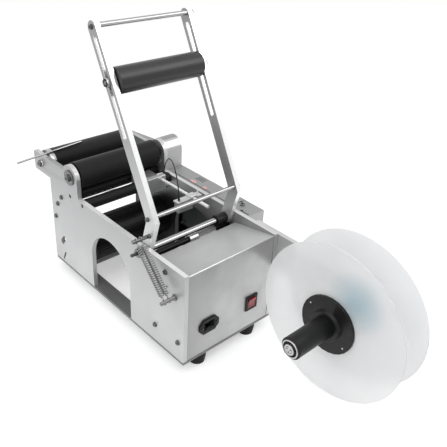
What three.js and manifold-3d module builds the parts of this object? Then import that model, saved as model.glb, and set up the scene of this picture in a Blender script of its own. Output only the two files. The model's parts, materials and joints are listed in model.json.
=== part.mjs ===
// A desk machine that sticks labels on round bottles: two aluminium side plates carry the rollers,
// a sprung press lever, a label spool on an outrigger arm and an electric drive.
// Millimetres, +X to the right, +Y to the rear, +Z up. While it is built, x is counted from the outer
// face of the left plate, y from the front edges of the plates and z from the floor.
import * as THREE from "three";
import { mergeVertices } from "three/addons/utils/BufferGeometryUtils.js";
import Module from "manifold-3d";

// gaps and cuts
const restGap = 0.3;
const turningGap = 0.35;
const cutOverrun = 4;
const roundSides = 28;
const smallSides = 16;
const sleeveSides = 24;
const pinSides = 12;
const studSides = 8;
const curveSteps = 12;
const coverCurveSteps = 8;
const discSides = 64;

// side plates and base
const innerWidth = 206;
const plateThickness = 9;
const plateDepth = 445;
const deckHeight = 190;
const footHeight = 24;
const footTopRadius = 17;
const footBottomRadius = 15;
const footInsetX = 48;
const footInsetY = 17;
const baseThickness = 6;
const railWidth = 32;
const baseFrontDepth = 150;
const baseRearDepth = 80;

// arch in each plate
const archForward = 132;
const archRadius = 66;
const archSpringHeight = 80;

// bearing lobe and rear ear
const driveAxisInset = 87;
const driveAxisRise = 38;
const lobeRadius = 26;
const earRise = 8.5;
const earReach = 57;
const earChamfer = 4;
const earThickness = 42.5;
const earRootInset = 4;
const takeUpReach = 27;
const takeUpDrop = 12;
const notchWidth = 12;
const notchDepth = 1.5;

// slots in the rear of the plates
const upperSlotWidth = 12;
const lowerSlotWidth = 5;
const slotLength = 24;
const slotLean = 5;
const upperSlotInset = 37;
const upperSlotHeight = 57;
const lowerSlotInset = 36;
const lowerSlotHeight = 16;

// press lever
const pivotBehindTray = 21.5;
const pivotDrop = 15;
const pivotRadius = 6.25;
const armGap = 1;
const armThickness = 10;
const armWidth = 24;
const kneeForward = 18.5;
const kneeRise = 66;
const leverLength = 334;
const leverLeanDegrees = 27.5;
const leverTopOverhang = 10;
const slotEndMargin = 19;
const slotReach = 165;
const pressAxleRadius = 4;
const pressRollerDrop = 91;
const pressRollerRadius = 23;
const pressRollerSideGap = 2;
const axleNutRadius = 8;
const axleNutLength = 6;
const handleRadius = 4.5;
const crossRodRadius = 4;
const crossRodAt = 8;
const rodForward = 6;
const collarRadius = 11;
const collarLength = 24;
const pivotNutRadius = 9;
const pivotNutLength = 7;
const pivotStubRadius = 3;
const pivotStubLength = 20;

// tension springs
const upperPostRise = 36;
const upperPostForward = 12;
const postRadius = 3.5;
const upperPostReach = 24.5;
const lowerPostY = 25;
const lowerPostDrop = 55;
const lowerPostReach = 31;
const lowerPostHeadRadius = 6;
const lowerPostHeadLength = 3;
const springInsetUpper = 7;
const springInsetLower = 13;
const springSpacing = 10;
const coilRadius = 4.1;
const wireRadius = 0.7;
const springCurls = 24;
const curlSteps = 8;
const wireSides = 5;
const springHookRun = 6;

// front cover
const sheet = 2;
const coverInset = 0.5;
const coverTopDrop = 2;
const trayDepth = 103;
const trayDrop = 20;

// mains inlet and rocker switch
const inletX = 58.5;
const inletHeight = 60;
const inletFlangeWidth = 46;
const inletFlangeHeight = 32;
const inletFlangeThickness = 3;
const inletEndHeight = 12;
const inletBodyWidth = 28;
const inletBodyHeight = 22;
const inletBodyDepth = 22;
const inletRecessWidth = 25;
const inletRecessHeight = 18;
const inletRecessDepth = 17;
const pinWidth = 2;
const pinHeight = 4;
const pinLength = 12;
const pinSpacing = 7;
const pinOffset = 2.5;
const switchX = 167;
const switchHeight = 57;
const bezelWidth = 29;
const bezelHeight = 33;
const bezelThickness = 2;
const bezelWall = 3;
const switchBodyDepth = 24;
const rockerThrowDegrees = 8;
const pressedShare = 0.85;
const rockerDepth = 9;

// control box and belt cover on the outside of the right plate
const boxFrontY = 77;
const boxRearGap = 25;
const boxWidth = 42;
const boxBottom = 20;
const boxWall = 2;
const panelThickness = 1.2;
const panelWidth = 34;
const panelFrontY = 130;
const panelRearMargin = 15;
const boardThickness = 2;
const boardStandoff = 8;
const standoffRadius = 3;
const boardFrontY = 150;
const boardRearMargin = 43;
const boardBottom = 70;
const boardTopDrop = 20;
const coverBottom = 60;
const coverTopRise = 13;
const coverRearRise = 8.4;
const coverRearWidth = 15.6;
const coverWidth = 41;
const coverRearMargin = 8;
const coverStepDrop = 40;
const coverLobeRadius = 26;
const coverLobeRise = 1;

// rollers between the plates
const driveRollerRadius = 28;
const driveShaftRadius = 8;
const journalRadius = 6;
const rollerEndGap = 3.5;
const driveRollerRightGap = 12;
const bearingRadius = 14;
const bearingLip = 3;
const bearingLipRadius = 16;
const takeUpRadius = 25.5;
const takeUpCapLength = 11;
const takeUpJournalRadius = 6;
const pinRodRadius = 2;
const pinRodInside = 94;
const pinRodOutside = 60;
const pinInnerForward = 6;
const pinOuterForward = 18;
const nipRadius = 12;
const nipRearward = 5;
const nipDrop = 44;
const guideRollerRadius = 11;
const guideRollerForward = 41;
const guideRollerDrop = 8;
const smallJournalRadius = 4;
const journalDepth = 6;
const tieRodRadius = 5;
const tieRodForward = 19;
const tieRodDrop = 8;
const webRodRadius = 6;
const webRodBehindTray = 24;
const webRodDrop = 34;
const guideStart = 113;
const guideFlangeLength = 20;
const guideSleeveLength = 45;
const guideFlangeRadius = 9.5;
const guideSleeveRadius = 8.5;

// drive
const pulleyStart = 4;
const pulleyLength = 9;
const drivePulleyRadius = 10;
const takeUpPulleyRadius = 9.5;
const motorPulleyRadius = 9.5;
const motorForward = 8;
const motorAxisHeight = 85;
const motorBodyHeight = 74;
const motorBodyRadius = 43;
const motorLength = 200;
const motorShaftRadius = 6;
const motorShaftDepth = 20;
const beltThickness = 2;
const beltWidth = 6;
const supplyWidth = 110;
const supplyDepth = 90;
const supplyHeight = 48;
const supplyX = 60;
const supplyY = 28;

// label sensor
const railRadius = 3.5;
const railX = 174;
const railRise = 10;
const railFrontY = 140;
const bracketForward = 52;
const bracketSeat = 8;
const bracketThickness = 12;
const bracketLeftX = 138;
const bracketRightX = 184;
const bracketLegRise = 3.5;
const bracketLegThickness = 3.5;
const bracketEyeHalf = 7;
const bracketEyeDrop = 16.5;
const bracketDrop = 16;
const bracketRise = 18;
const headPlateLeftX = 134;
const headPlateRightX = 196;
const headY = 184;
const headDepth = 16;
const headPlateThickness = 4;
const headBlockHalf = 9;
const headBlockTop = 5.5;
const studRadius = 1.6;
const studHeight = 11;
const studX = 190;
const headHolderLeftX = 137;
const headHolderRightX = 172;
const headHolderDrop = 12;
const leadRadius = 1.5;
const leadX = 142;
const leadSides = 8;
const leadStraight = 6;
const leadFall = 14;
const leadTurnX = [209, 205.5];
const leadTurnForward = [0, 4];
const leadTurnDrop = [8, 14];
const leadArchX = [146, 160, 180, 200, 211];
const leadArchShares = [0.06, 0.25, 0.5, 0.77, 0.95];
const leadArchRise = [42, 59, 59, 46, 22];
const leadSteps = 48;
const leadDropX = 212.5;
const leadDropForward = 28;
const leadEndX = 231;
const leadEndForward = 36;
const leadEndDrop = 15;

// label spool
const spoolY = -195;
const spoolHeight = 147;
const discRadius = 141;
const discThickness = 3;
const frontDiscX = 140;
const rearDiscX = 203;
const coreRadius = 19;
const coreWall = 8;
const coreEndX = 46;
const coreRearX = 213;
const flangeRadius = 52;
const flangeThickness = 5;
const hubRadius = 27;
const hubLength = 7;
const spoolAxleRadius = 8;
const axleHeadRadius = 6;
const axleHeadLength = 5;
const axleTailLength = 6;
const axleTailRadius = 13;
const endBearingRadius = 16;
const endBearingLength = 2.5;
const spoolArmThickness = 10;
const spoolArmRearY = 60;
const spoolArmRearBottom = 112;
const spoolArmShoulderY = -40;
const spoolArmHubRadius = 28;

// places worked out from the sizes above
const plateBottom = footHeight + baseThickness;
const leftInner = plateThickness;
const rightInner = leftInner + innerWidth;
const rightOuter = rightInner + plateThickness;
const deckZ = plateBottom + deckHeight;
const driveAxisHeight = deckHeight + driveAxisRise;
const earHeight = driveAxisHeight + earRise;
const notchBottomHeight = earHeight - notchDepth;
const takeUpAxisHeight = driveAxisHeight - takeUpDrop;
const nipAxisHeight = driveAxisHeight - nipDrop;
const guideRollerHeight = deckHeight - guideRollerDrop;
const earUnderside = earHeight - earThickness;
const pivotHeight = deckHeight - pivotDrop;
const pivotY = trayDepth + pivotBehindTray;
const lowerPostHeight = deckHeight - lowerPostDrop;
const boardTop = deckHeight - boardTopDrop;
const coverTop = driveAxisHeight + coverTopRise;
const coverStepHeight = deckHeight - coverStepDrop;
const coverLobeHeight = driveAxisHeight + coverLobeRise;
const webRodHeight = deckHeight - webRodDrop;
const webRodY = trayDepth + webRodBehindTray;
const railHeight = deckHeight + railRise;
const bracketLegBottom = deckHeight + bracketLegRise;
const bracketLegTop = bracketLegBottom + bracketLegThickness;
const bracketEyeBottom = deckHeight - bracketEyeDrop;
const bracketBottom = deckHeight - bracketDrop;
const bracketTop = deckHeight + bracketRise;
const headHolderBottom = deckHeight - headHolderDrop;
const tieRodHeight = deckHeight - tieRodDrop;
const driveZ = plateBottom + driveAxisHeight;
const takeUpZ = plateBottom + takeUpAxisHeight;
const pivotZ = plateBottom + pivotHeight;
const motorZ = plateBottom + motorAxisHeight;
const spoolZ = plateBottom + spoolHeight;
const leverLean = THREE.MathUtils.degToRad(leverLeanDegrees);
const leverDirection = new THREE.Vector2(Math.sin(leverLean), Math.cos(leverLean));
const upperPost = new THREE.Vector2(pivotY - upperPostForward, pivotZ + upperPostRise);
const knee = new THREE.Vector2(pivotY - kneeForward, pivotZ + kneeRise);
const driveAxisY = plateDepth - driveAxisInset;
const takeUpAxisY = plateDepth + takeUpReach;
const earRearY = plateDepth + earReach;
const earRootY = plateDepth - earRootInset;
const upperSlotY = plateDepth - upperSlotInset;
const lowerSlotY = plateDepth - lowerSlotInset;
const archCentreY = driveAxisY - archForward;
const nipAxisY = driveAxisY + nipRearward;
const guideRollerY = driveAxisY - guideRollerForward;
const tieRodY = driveAxisY - tieRodForward;
const motorAxisY = driveAxisY - motorForward;
const bracketY = tieRodY - bracketForward;
const boxRearY = driveAxisY - boxRearGap;
const panelRearY = boxRearY - panelRearMargin;
const boardRearY = boxRearY - boardRearMargin;
const pinInnerY = takeUpAxisY - pinInnerForward;
const pinOuterY = takeUpAxisY - pinOuterForward;
const leadDropY = driveAxisY - leadDropForward;
const leadEndY = driveAxisY - leadEndForward;
const guideUnderside = guideRollerHeight - guideRollerRadius;
const leadEndHeight = guideUnderside - leadEndDrop;
const slotEnd = leverLength - slotEndMargin;
const slotStart = slotEnd - slotReach;
const pressRollerAt = leverLength - pressRollerDrop;
const leftArmX = leftInner + armGap;
const rightArmX = rightInner - armGap - armThickness;

// a point on the press lever's upper bar, as (y, z): so far from the knee, and so far before the centre line
function onLever(distance, forward = 0) {
  const before = new THREE.Vector2(-leverDirection.y, leverDirection.x);
  return knee.clone().addScaledVector(leverDirection, distance).addScaledVector(before, forward);
}

const wasm = await Module();
wasm.setup();

const machine = new THREE.Group();
const works = new THREE.Group();
machine.add(works);

function finish(colour, roughness, metalness) {
  return new THREE.MeshStandardMaterial({ color: colour, roughness, metalness });
}

const looks = {
  aluminium: () => finish(0xd2d3d4, 0.35, 0.9),
  brushed: () => finish(0xb4b5b6, 0.3, 0.9),
  chrome: () => finish(0xe6e7e8, 0.1, 1),
  steel: () => finish(0xa9abad, 0.35, 0.9),
  coated: () => finish(0xc9cacb, 0.45, 0.3),
  rubber: () => finish(0x232425, 0.6, 0),
  black: () => finish(0x18191a, 0.4, 0.1),
  red: () => finish(0xb3231f, 0.3, 0),
  milky: () => finish(0xe9edef, 0.4, 0),
  board: () => finish(0x1b2622, 0.6, 0),
  white: () => finish(0xececea, 0.45, 0),
};

function add(name, geometry, look) {
  const mesh = new THREE.Mesh(geometry, look());
  mesh.name = name;
  works.add(mesh);
  return mesh;
}

// the corner angles of a hexagon
const hexagon = [0, 1, 2, 3, 4, 5].map((corner) => (corner * Math.PI) / 3);

// closed mesh geometry to a solid that can be cut, and back
function toSolid(geometry) {
  const bare = geometry.clone();
  bare.deleteAttribute("normal");
  bare.deleteAttribute("uv");
  const merged = mergeVertices(bare);
  return new wasm.Manifold(new wasm.Mesh({
    numProp: 3,
    vertProperties: Float32Array.from(merged.attributes.position.array),
    triVerts: Uint32Array.from(merged.index.array),
  }));
}

function toGeometry(solid) {
  const mesh = solid.getMesh();
  const geometry = new THREE.BufferGeometry();
  geometry.setAttribute("position", new THREE.BufferAttribute(mesh.vertProperties, 3));
  geometry.setIndex(new THREE.BufferAttribute(mesh.triVerts, 1));
  geometry.computeVertexNormals();
  return geometry;
}

function join(first, ...others) {
  return toGeometry(others.reduce((sum, other) => sum.add(toSolid(other)), toSolid(first)));
}

function cut(body, ...tools) {
  return toGeometry(tools.reduce((rest, tool) => rest.subtract(toSolid(tool)), toSolid(body)));
}

// a box between two corners
function block(x0, x1, y0, y1, z0, z1) {
  const box = new THREE.BoxGeometry(x1 - x0, y1 - y0, z1 - z0);
  return box.translate((x0 + x1) / 2, (y0 + y1) / 2, (z0 + z1) / 2);
}

// an outline drawn in (y, z), carried along X from x0 to x1
function slab(shape, x0, x1, curveSegments = curveSteps) {
  const geometry = new THREE.ExtrudeGeometry(shape, { depth: x1 - x0, bevelEnabled: false, curveSegments });
  const turn = new THREE.Matrix4().makeBasis(
    new THREE.Vector3(0, 1, 0), new THREE.Vector3(0, 0, 1), new THREE.Vector3(1, 0, 0));
  return geometry.applyMatrix4(turn).translate(x0, 0, 0);
}

// a turned piece on an axis along X through (y, z), from (x, radius) pairs
function turned(profile, y, z, sides = roundSides) {
  const points = profile.map(([x, radius]) => new THREE.Vector2(radius, x));
  const lathe = new THREE.LatheGeometry(points, sides);
  return lathe.rotateZ(-Math.PI / 2).translate(0, y, z);
}

function rod(radius, x0, x1, y, z, sides = smallSides) {
  return turned([[x0, 0], [x0, radius], [x1, radius], [x1, 0]], y, z, sides);
}

function ring(outer, inner, x0, x1, y, z, sides = roundSides) {
  return turned([[x0, inner], [x0, outer], [x1, outer], [x1, inner], [x0, inner]], y, z, sides);
}

// a hexagon nut with a round bore
function nut(radius, bore, x0, x1, y, z) {
  const shape = new THREE.Shape(hexagon.map((angle) => new THREE.Vector2(
    y + radius * Math.cos(angle), z + radius * Math.sin(angle))));
  shape.holes.push(circleHole(y, z, bore));
  return slab(shape, x0, x1, coverCurveSteps);
}

function circleHole(y, z, radius) {
  return new THREE.Path().absarc(y, z, radius, 0, 2 * Math.PI, true);
}

// a slot with round ends between two points
function slotHole(from, to, radius) {
  const angle = Math.atan2(to.y - from.y, to.x - from.x);
  const path = new THREE.Path();
  path.absarc(to.x, to.y, radius, angle + Math.PI / 2, angle - Math.PI / 2, true);
  path.absarc(from.x, from.y, radius, angle - Math.PI / 2, angle - 3 * Math.PI / 2, true);
  path.closePath();
  return path;
}

// the liner pin lies slantwise over the take-up roller, and leaves through the notch in the ear
const pinClearance = takeUpRadius + pinRodRadius + 2 * restGap;
function pinHeightOver(y) {
  return takeUpZ + Math.sqrt(pinClearance ** 2 - (takeUpAxisY - y) ** 2);
}
const rollerLeftX = leftInner + rollerEndGap;
const pinSlantY = (pinInnerY - pinOuterY) / (pinRodInside + pinRodOutside);
const pinAtRollerY = pinInnerY - pinSlantY * (pinRodInside - rollerLeftX);
const pinRise = (pinHeightOver(pinInnerY) - pinHeightOver(pinAtRollerY)) / (pinRodInside - rollerLeftX);
const pinInner = new THREE.Vector3(pinRodInside, pinInnerY, pinHeightOver(pinInnerY));
const pinOuter = new THREE.Vector3(
  -pinRodOutside, pinOuterY, pinInner.z - pinRise * (pinRodInside + pinRodOutside));
const notchY = pinInnerY - pinSlantY * (pinRodInside - plateThickness / 2);
const notchBottom = plateBottom + notchBottomHeight;

// side plate outline: flat deck, bearing lobe, level ear with a shallow notch, and the arch below
function plateOutline() {
  const earAngle = Math.asin(earRise / lobeRadius);
  const archRear = archCentreY + archRadius;
  const archFront = archCentreY - archRadius;
  const archZ = plateBottom + archSpringHeight;
  const earZ = plateBottom + earHeight;
  const shape = new THREE.Shape();
  shape.moveTo(0, plateBottom);
  shape.lineTo(archFront, plateBottom);
  shape.lineTo(archFront, archZ);
  shape.absarc(archCentreY, archZ, archRadius, Math.PI, 0, true);
  shape.lineTo(archRear, plateBottom);
  shape.lineTo(plateDepth, plateBottom);
  shape.lineTo(earRootY, plateBottom + earUnderside);
  shape.lineTo(earRearY, plateBottom + earUnderside);
  shape.lineTo(earRearY, earZ - earChamfer);
  shape.lineTo(earRearY - earChamfer, earZ);
  shape.lineTo(notchY + notchWidth / 2, earZ);
  shape.lineTo(notchY + notchWidth / 2, notchBottom);
  shape.lineTo(notchY - notchWidth / 2, notchBottom);
  shape.lineTo(notchY - notchWidth / 2, earZ);
  shape.absarc(driveAxisY, driveZ, lobeRadius, earAngle, Math.PI, false);
  shape.lineTo(driveAxisY - lobeRadius, deckZ);
  shape.lineTo(0, deckZ);
  shape.closePath();
  return shape;
}

function journalHole(y, height, radius) {
  return circleHole(y, plateBottom + height, radius + turningGap);
}

function platePlainHoles() {
  return [
    circleHole(pivotY, pivotZ, pivotRadius + turningGap),
    circleHole(driveAxisY, driveZ, bearingRadius + restGap),
    journalHole(takeUpAxisY, takeUpAxisHeight, takeUpJournalRadius),
    journalHole(nipAxisY, nipAxisHeight, smallJournalRadius),
    journalHole(guideRollerY, guideRollerHeight, smallJournalRadius),
  ];
}

function rearSlot(y, height, width) {
  const reach = (slotLength - width) / 2;
  const low = new THREE.Vector2(y + slotLean, plateBottom + height - reach);
  const high = new THREE.Vector2(y - slotLean, plateBottom + height + reach);
  return slotHole(low, high, width / 2);
}

function sidePlates() {
  const left = plateOutline();
  left.holes.push(...platePlainHoles());
  left.holes.push(
    rearSlot(upperSlotY, upperSlotHeight, upperSlotWidth),
    rearSlot(lowerSlotY, lowerSlotHeight, lowerSlotWidth));
  add("left_side_plate", slab(left, 0, plateThickness), looks.aluminium);
  const right = plateOutline();
  right.holes.push(...platePlainHoles(), journalHole(motorAxisY, motorAxisHeight, motorShaftRadius));
  right.holes.push(journalHole(leadEndY, leadEndHeight, leadRadius));
  add("right_side_plate", slab(right, rightInner, rightOuter), looks.aluminium);
}

function baseAndFeet() {
  const outer = new THREE.Shape();
  outer.moveTo(0, 0);
  outer.lineTo(rightOuter, 0);
  outer.lineTo(rightOuter, plateDepth);
  outer.lineTo(0, plateDepth);
  outer.closePath();
  const opening = new THREE.Path();
  opening.moveTo(railWidth, baseFrontDepth);
  opening.lineTo(railWidth, plateDepth - baseRearDepth);
  opening.lineTo(rightOuter - railWidth, plateDepth - baseRearDepth);
  opening.lineTo(rightOuter - railWidth, baseFrontDepth);
  opening.closePath();
  outer.holes.push(opening);
  const plate = new THREE.ExtrudeGeometry(outer, { depth: baseThickness - restGap, bevelEnabled: false });
  add("base_plate", plate.translate(0, 0, footHeight), looks.aluminium);
  const foot = [
    [0, 0], [footBottomRadius, 0], [footTopRadius, footHeight / 2],
    [footTopRadius, footHeight - restGap], [0, footHeight - restGap],
  ].map(([radius, z]) => new THREE.Vector2(radius, z));
  for (const [side, x] of [["left", footInsetX], ["right", rightOuter - footInsetX]]) {
    for (const [end, y] of [["front", footInsetY], ["rear", plateDepth - footInsetY]]) {
      const geometry = new THREE.LatheGeometry(foot, smallSides).rotateX(Math.PI / 2);
      add(`foot_${end}_${side}`, geometry.translate(x, y, 0), looks.rubber);
    }
  }
}

// the bent sheet between the plates: upright front face, then a tray that falls to the rear
function frontCover() {
  const top = deckZ - coverTopDrop;
  const slope = trayDrop / trayDepth;
  const shape = new THREE.Shape();
  shape.moveTo(coverInset, plateBottom);
  shape.lineTo(coverInset, top);
  shape.lineTo(coverInset + trayDepth, top - trayDrop);
  shape.lineTo(coverInset + trayDepth, top - trayDrop - sheet);
  shape.lineTo(coverInset + sheet, top - sheet - slope * sheet);
  shape.lineTo(coverInset + sheet, plateBottom);
  shape.closePath();
  const bent = slab(shape, leftInner + restGap, rightInner - restGap);
  const through = (x, height, width, tall) => block(
    x - width / 2 - restGap, x + width / 2 + restGap,
    coverInset - cutOverrun, coverInset + sheet + cutOverrun,
    plateBottom + height - tall / 2 - restGap, plateBottom + height + tall / 2 + restGap);
  add("front_cover", cut(bent,
    through(inletX, inletHeight, inletBodyWidth, inletBodyHeight),
    through(switchX, switchHeight, bezelWidth - 2 * bezelWall, bezelHeight - 2 * bezelWall)), looks.brushed);
}

// the appliance inlet: long hexagon flange, body, hollow mouth and three flat pins
function powerInlet() {
  const z = plateBottom + inletHeight;
  const front = coverInset - restGap;
  const rear = coverInset + sheet + inletBodyDepth;
  const half = inletFlangeWidth / 2;
  const shoulder = inletBodyWidth / 2;
  const flange = new THREE.Shape([
    [-half, -inletEndHeight / 2], [-shoulder, -inletFlangeHeight / 2], [shoulder, -inletFlangeHeight / 2],
    [half, -inletEndHeight / 2], [half, inletEndHeight / 2], [shoulder, inletFlangeHeight / 2],
    [-shoulder, inletFlangeHeight / 2], [-half, inletEndHeight / 2],
  ].map(([x, y]) => new THREE.Vector2(x, y)));
  const plate = new THREE.ExtrudeGeometry(flange, { depth: inletFlangeThickness, bevelEnabled: false });
  plate.rotateX(Math.PI / 2).translate(inletX, front, z);
  const mouth = front - inletFlangeThickness;
  const body = block(inletX - shoulder, inletX + shoulder, mouth + inletFlangeThickness / 2, rear,
    z - inletBodyHeight / 2, z + inletBodyHeight / 2);
  const recess = block(inletX - inletRecessWidth / 2, inletX + inletRecessWidth / 2, mouth - cutOverrun,
    mouth + inletRecessDepth, z - inletRecessHeight / 2, z + inletRecessHeight / 2);
  const pins = [[-pinSpacing, -pinOffset], [0, pinOffset], [pinSpacing, -pinOffset]].map(([dx, dz]) => block(
    inletX + dx - pinWidth / 2, inletX + dx + pinWidth / 2, mouth + inletRecessDepth - pinLength,
    mouth + inletRecessDepth + pinWidth, z + dz - pinHeight / 2, z + dz + pinHeight / 2));
  add("power_inlet", join(cut(join(plate, body), recess), ...pins), looks.black);
}

function rockerSwitch() {
  const z = plateBottom + switchHeight;
  const front = coverInset - restGap - bezelThickness;
  const halfWide = bezelWidth / 2;
  const halfTall = bezelHeight / 2;
  const frameBlock = block(switchX - halfWide, switchX + halfWide, front, coverInset - restGap,
    z - halfTall, z + halfTall);
  const body = block(switchX - halfWide + bezelWall, switchX + halfWide - bezelWall,
    front + bezelThickness / 2, front + switchBodyDepth, z - halfTall + bezelWall, z + halfTall - bezelWall);
  const well = block(switchX - halfWide + bezelWall + sheet, switchX + halfWide - bezelWall - sheet,
    front - cutOverrun, front + rockerDepth + cutOverrun,
    z - halfTall + bezelWall + sheet, z + halfTall - bezelWall - sheet);
  add("switch_bezel", cut(join(frameBlock, body), well), looks.black);
  // the paddle: two faces that meet in a shallow valley, tilted so that its lower half is pressed in
  const throwAngle = THREE.MathUtils.degToRad(rockerThrowDegrees);
  const reach = halfTall - bezelWall - sheet - turningGap * 2;
  const side = halfWide - bezelWall - sheet - turningGap;
  const rise = Math.tan(throwAngle) * reach;
  const face = new THREE.Shape([
    [0, 0], [-rise, reach], [rockerDepth / 2, reach * Math.cos(throwAngle)], [rockerDepth, 0],
    [rockerDepth / 2, -reach * Math.cos(throwAngle)], [-rise, -reach],
  ].map(([y, up]) => new THREE.Vector2(y, up)));
  const paddle = slab(face, -side, side);
  const mesh = add("rocker_switch", paddle, looks.red);
  mesh.rotation.x = throwAngle * pressedShare;
  mesh.position.set(switchX, front, z);
}

// a box open towards the right plate
function controlBox() {
  const x0 = rightOuter + restGap;
  const x1 = rightOuter + boxWidth;
  const z0 = plateBottom + boxBottom;
  const outer = block(x0, x1, boxFrontY, boxRearY, z0, deckZ);
  const inner = block(x0 - cutOverrun, x1 - boxWall, boxFrontY + boxWall, boxRearY - boxWall,
    z0 + boxWall, deckZ - boxWall);
  add("control_box", cut(outer, inner), looks.coated);
  const centre = (x0 + x1) / 2;
  add("control_panel", block(centre - panelWidth / 2, centre + panelWidth / 2, panelFrontY, panelRearY,
    deckZ + restGap, deckZ + restGap + panelThickness), looks.coated);
  const boardX = rightOuter + restGap + boardStandoff;
  const plate = block(boardX, boardX + boardThickness, boardFrontY, boardRearY,
    plateBottom + boardBottom, plateBottom + boardTop);
  const posts = [];
  for (const y of [boardFrontY + boardStandoff, boardRearY - boardStandoff]) {
    for (const z of [boardBottom + boardStandoff, boardTop - boardStandoff]) {
      posts.push(rod(standoffRadius, rightOuter + restGap, boardX + boardThickness / 2,
        y, plateBottom + z, pinSides));
    }
  }
  add("circuit_board", join(plate, ...posts), looks.board);
}

// front of the belt cover: a box with a half-round top over the drive axis
function coverFrontOutline(inset) {
  const front = boxRearY + restGap;
  const lobeY = front + coverLobeRadius;
  const reach = coverLobeRadius - inset;
  const bottom = plateBottom + coverBottom + inset;
  const shape = new THREE.Shape();
  shape.moveTo(lobeY - reach, bottom);
  shape.lineTo(lobeY + reach, bottom);
  shape.absarc(lobeY, plateBottom + coverLobeHeight, reach, 0, Math.PI, false);
  shape.closePath();
  return shape;
}

// rear of the belt cover: thinner, falling with the belt to the take-up axis
function coverRearOutline(inset) {
  const lobeY = boxRearY + restGap + coverLobeRadius;
  const rear = earRearY + coverRearMargin - inset;
  const step = earRootY - inset;
  const bottom = plateBottom + coverBottom + inset;
  const under = plateBottom + coverStepHeight + inset;
  return new THREE.Shape([
    [lobeY, bottom], [step, bottom], [step, under], [rear, under],
    [rear, takeUpZ + coverRearRise - inset], [lobeY, plateBottom + coverTop - inset],
  ].map(([y, z]) => new THREE.Vector2(y, z)));
}

function beltCover() {
  const x0 = rightOuter + restGap;
  const open = x0 - cutOverrun;
  const width = rightOuter + coverWidth;
  const thin = rightOuter + coverRearWidth;
  const outer = join(
    slab(coverFrontOutline(0), x0, width, coverCurveSteps), slab(coverRearOutline(0), x0, thin));
  const inner = join(
    slab(coverFrontOutline(boxWall), open, width - boxWall, coverCurveSteps),
    slab(coverRearOutline(boxWall), open, thin - boxWall));
  add("belt_cover", cut(outer, inner), looks.coated);
}

// outline round several circles, as the belt runs: the convex hull of points on them
function hullOutline(circles) {
  const points = [];
  for (const [y, z, radius] of circles) {
    for (let i = 0; i < roundSides; i += 1) {
      const angle = (2 * Math.PI * i) / roundSides;
      points.push(new THREE.Vector2(y + radius * Math.cos(angle), z + radius * Math.sin(angle)));
    }
  }
  points.sort((a, b) => a.x - b.x || a.y - b.y);
  const turns = (a, b, c) => (b.x - a.x) * (c.y - a.y) - (b.y - a.y) * (c.x - a.x);
  const half = (list) => {
    const chain = [];
    for (const point of list) {
      while (chain.length > 1 && turns(chain.at(-2), chain.at(-1), point) <= 0) chain.pop();
      chain.push(point);
    }
    chain.pop();
    return chain;
  };
  return [...half(points), ...half(points.slice().reverse())];
}

function drive() {
  const x0 = rightOuter + pulleyStart;
  const x1 = x0 + pulleyLength;
  const beltX = x0 + (pulleyLength - beltWidth) / 2;
  const pulleys = [
    [driveAxisY, driveZ, drivePulleyRadius],
    [takeUpAxisY, takeUpZ, takeUpPulleyRadius],
    [motorAxisY, motorZ, motorPulleyRadius],
  ];
  // each pulley is waisted for the belt
  const waist = (radius) => radius - beltThickness;
  const pulley = (radius, bore, y, z) => turned([
    [x0, bore], [x0, radius], [beltX - restGap, radius], [beltX - restGap, waist(radius)],
    [beltX + beltWidth + restGap, waist(radius)], [beltX + beltWidth + restGap, radius], [x1, radius],
    [x1, bore], [x0, bore]], y, z);
  add("drive_pulley", pulley(drivePulleyRadius, journalRadius + restGap, driveAxisY, driveZ), looks.steel);
  add("take_up_pulley", pulley(takeUpPulleyRadius, takeUpJournalRadius + restGap, takeUpAxisY, takeUpZ),
    looks.steel);
  const motorShaftStart = rightInner - motorShaftDepth;
  add("motor_pulley", turned([
    [motorShaftStart, 0], [motorShaftStart, motorShaftRadius],
    [x0, motorShaftRadius], [x0, motorPulleyRadius],
    [beltX - restGap, motorPulleyRadius], [beltX - restGap, waist(motorPulleyRadius)],
    [beltX + beltWidth + restGap, waist(motorPulleyRadius)], [beltX + beltWidth + restGap, motorPulleyRadius],
    [x1, motorPulleyRadius], [x1, 0]], motorAxisY, motorZ), looks.steel);
  const grown = (extra) => hullOutline(pulleys.map(([y, z, radius]) => [y, z, waist(radius) + extra]));
  const loop = new THREE.Shape(grown(turningGap + beltThickness));
  loop.holes.push(new THREE.Path(grown(turningGap).reverse()));
  add("drive_belt", slab(loop, beltX, beltX + beltWidth), looks.rubber);
  const motorEnd = rightInner - restGap;
  const shaftBore = rod(motorShaftRadius + turningGap, motorShaftStart - turningGap, motorEnd + cutOverrun,
    motorAxisY, motorZ);
  const motorBody = rod(motorBodyRadius, motorEnd - motorLength, motorEnd,
    motorAxisY, plateBottom + motorBodyHeight, roundSides);
  add("drive_motor", cut(motorBody, shaftBore), looks.black);
  add("power_supply", block(supplyX, supplyX + supplyWidth, supplyY, supplyY + supplyDepth,
    plateBottom, plateBottom + supplyHeight), looks.steel);
}

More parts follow.
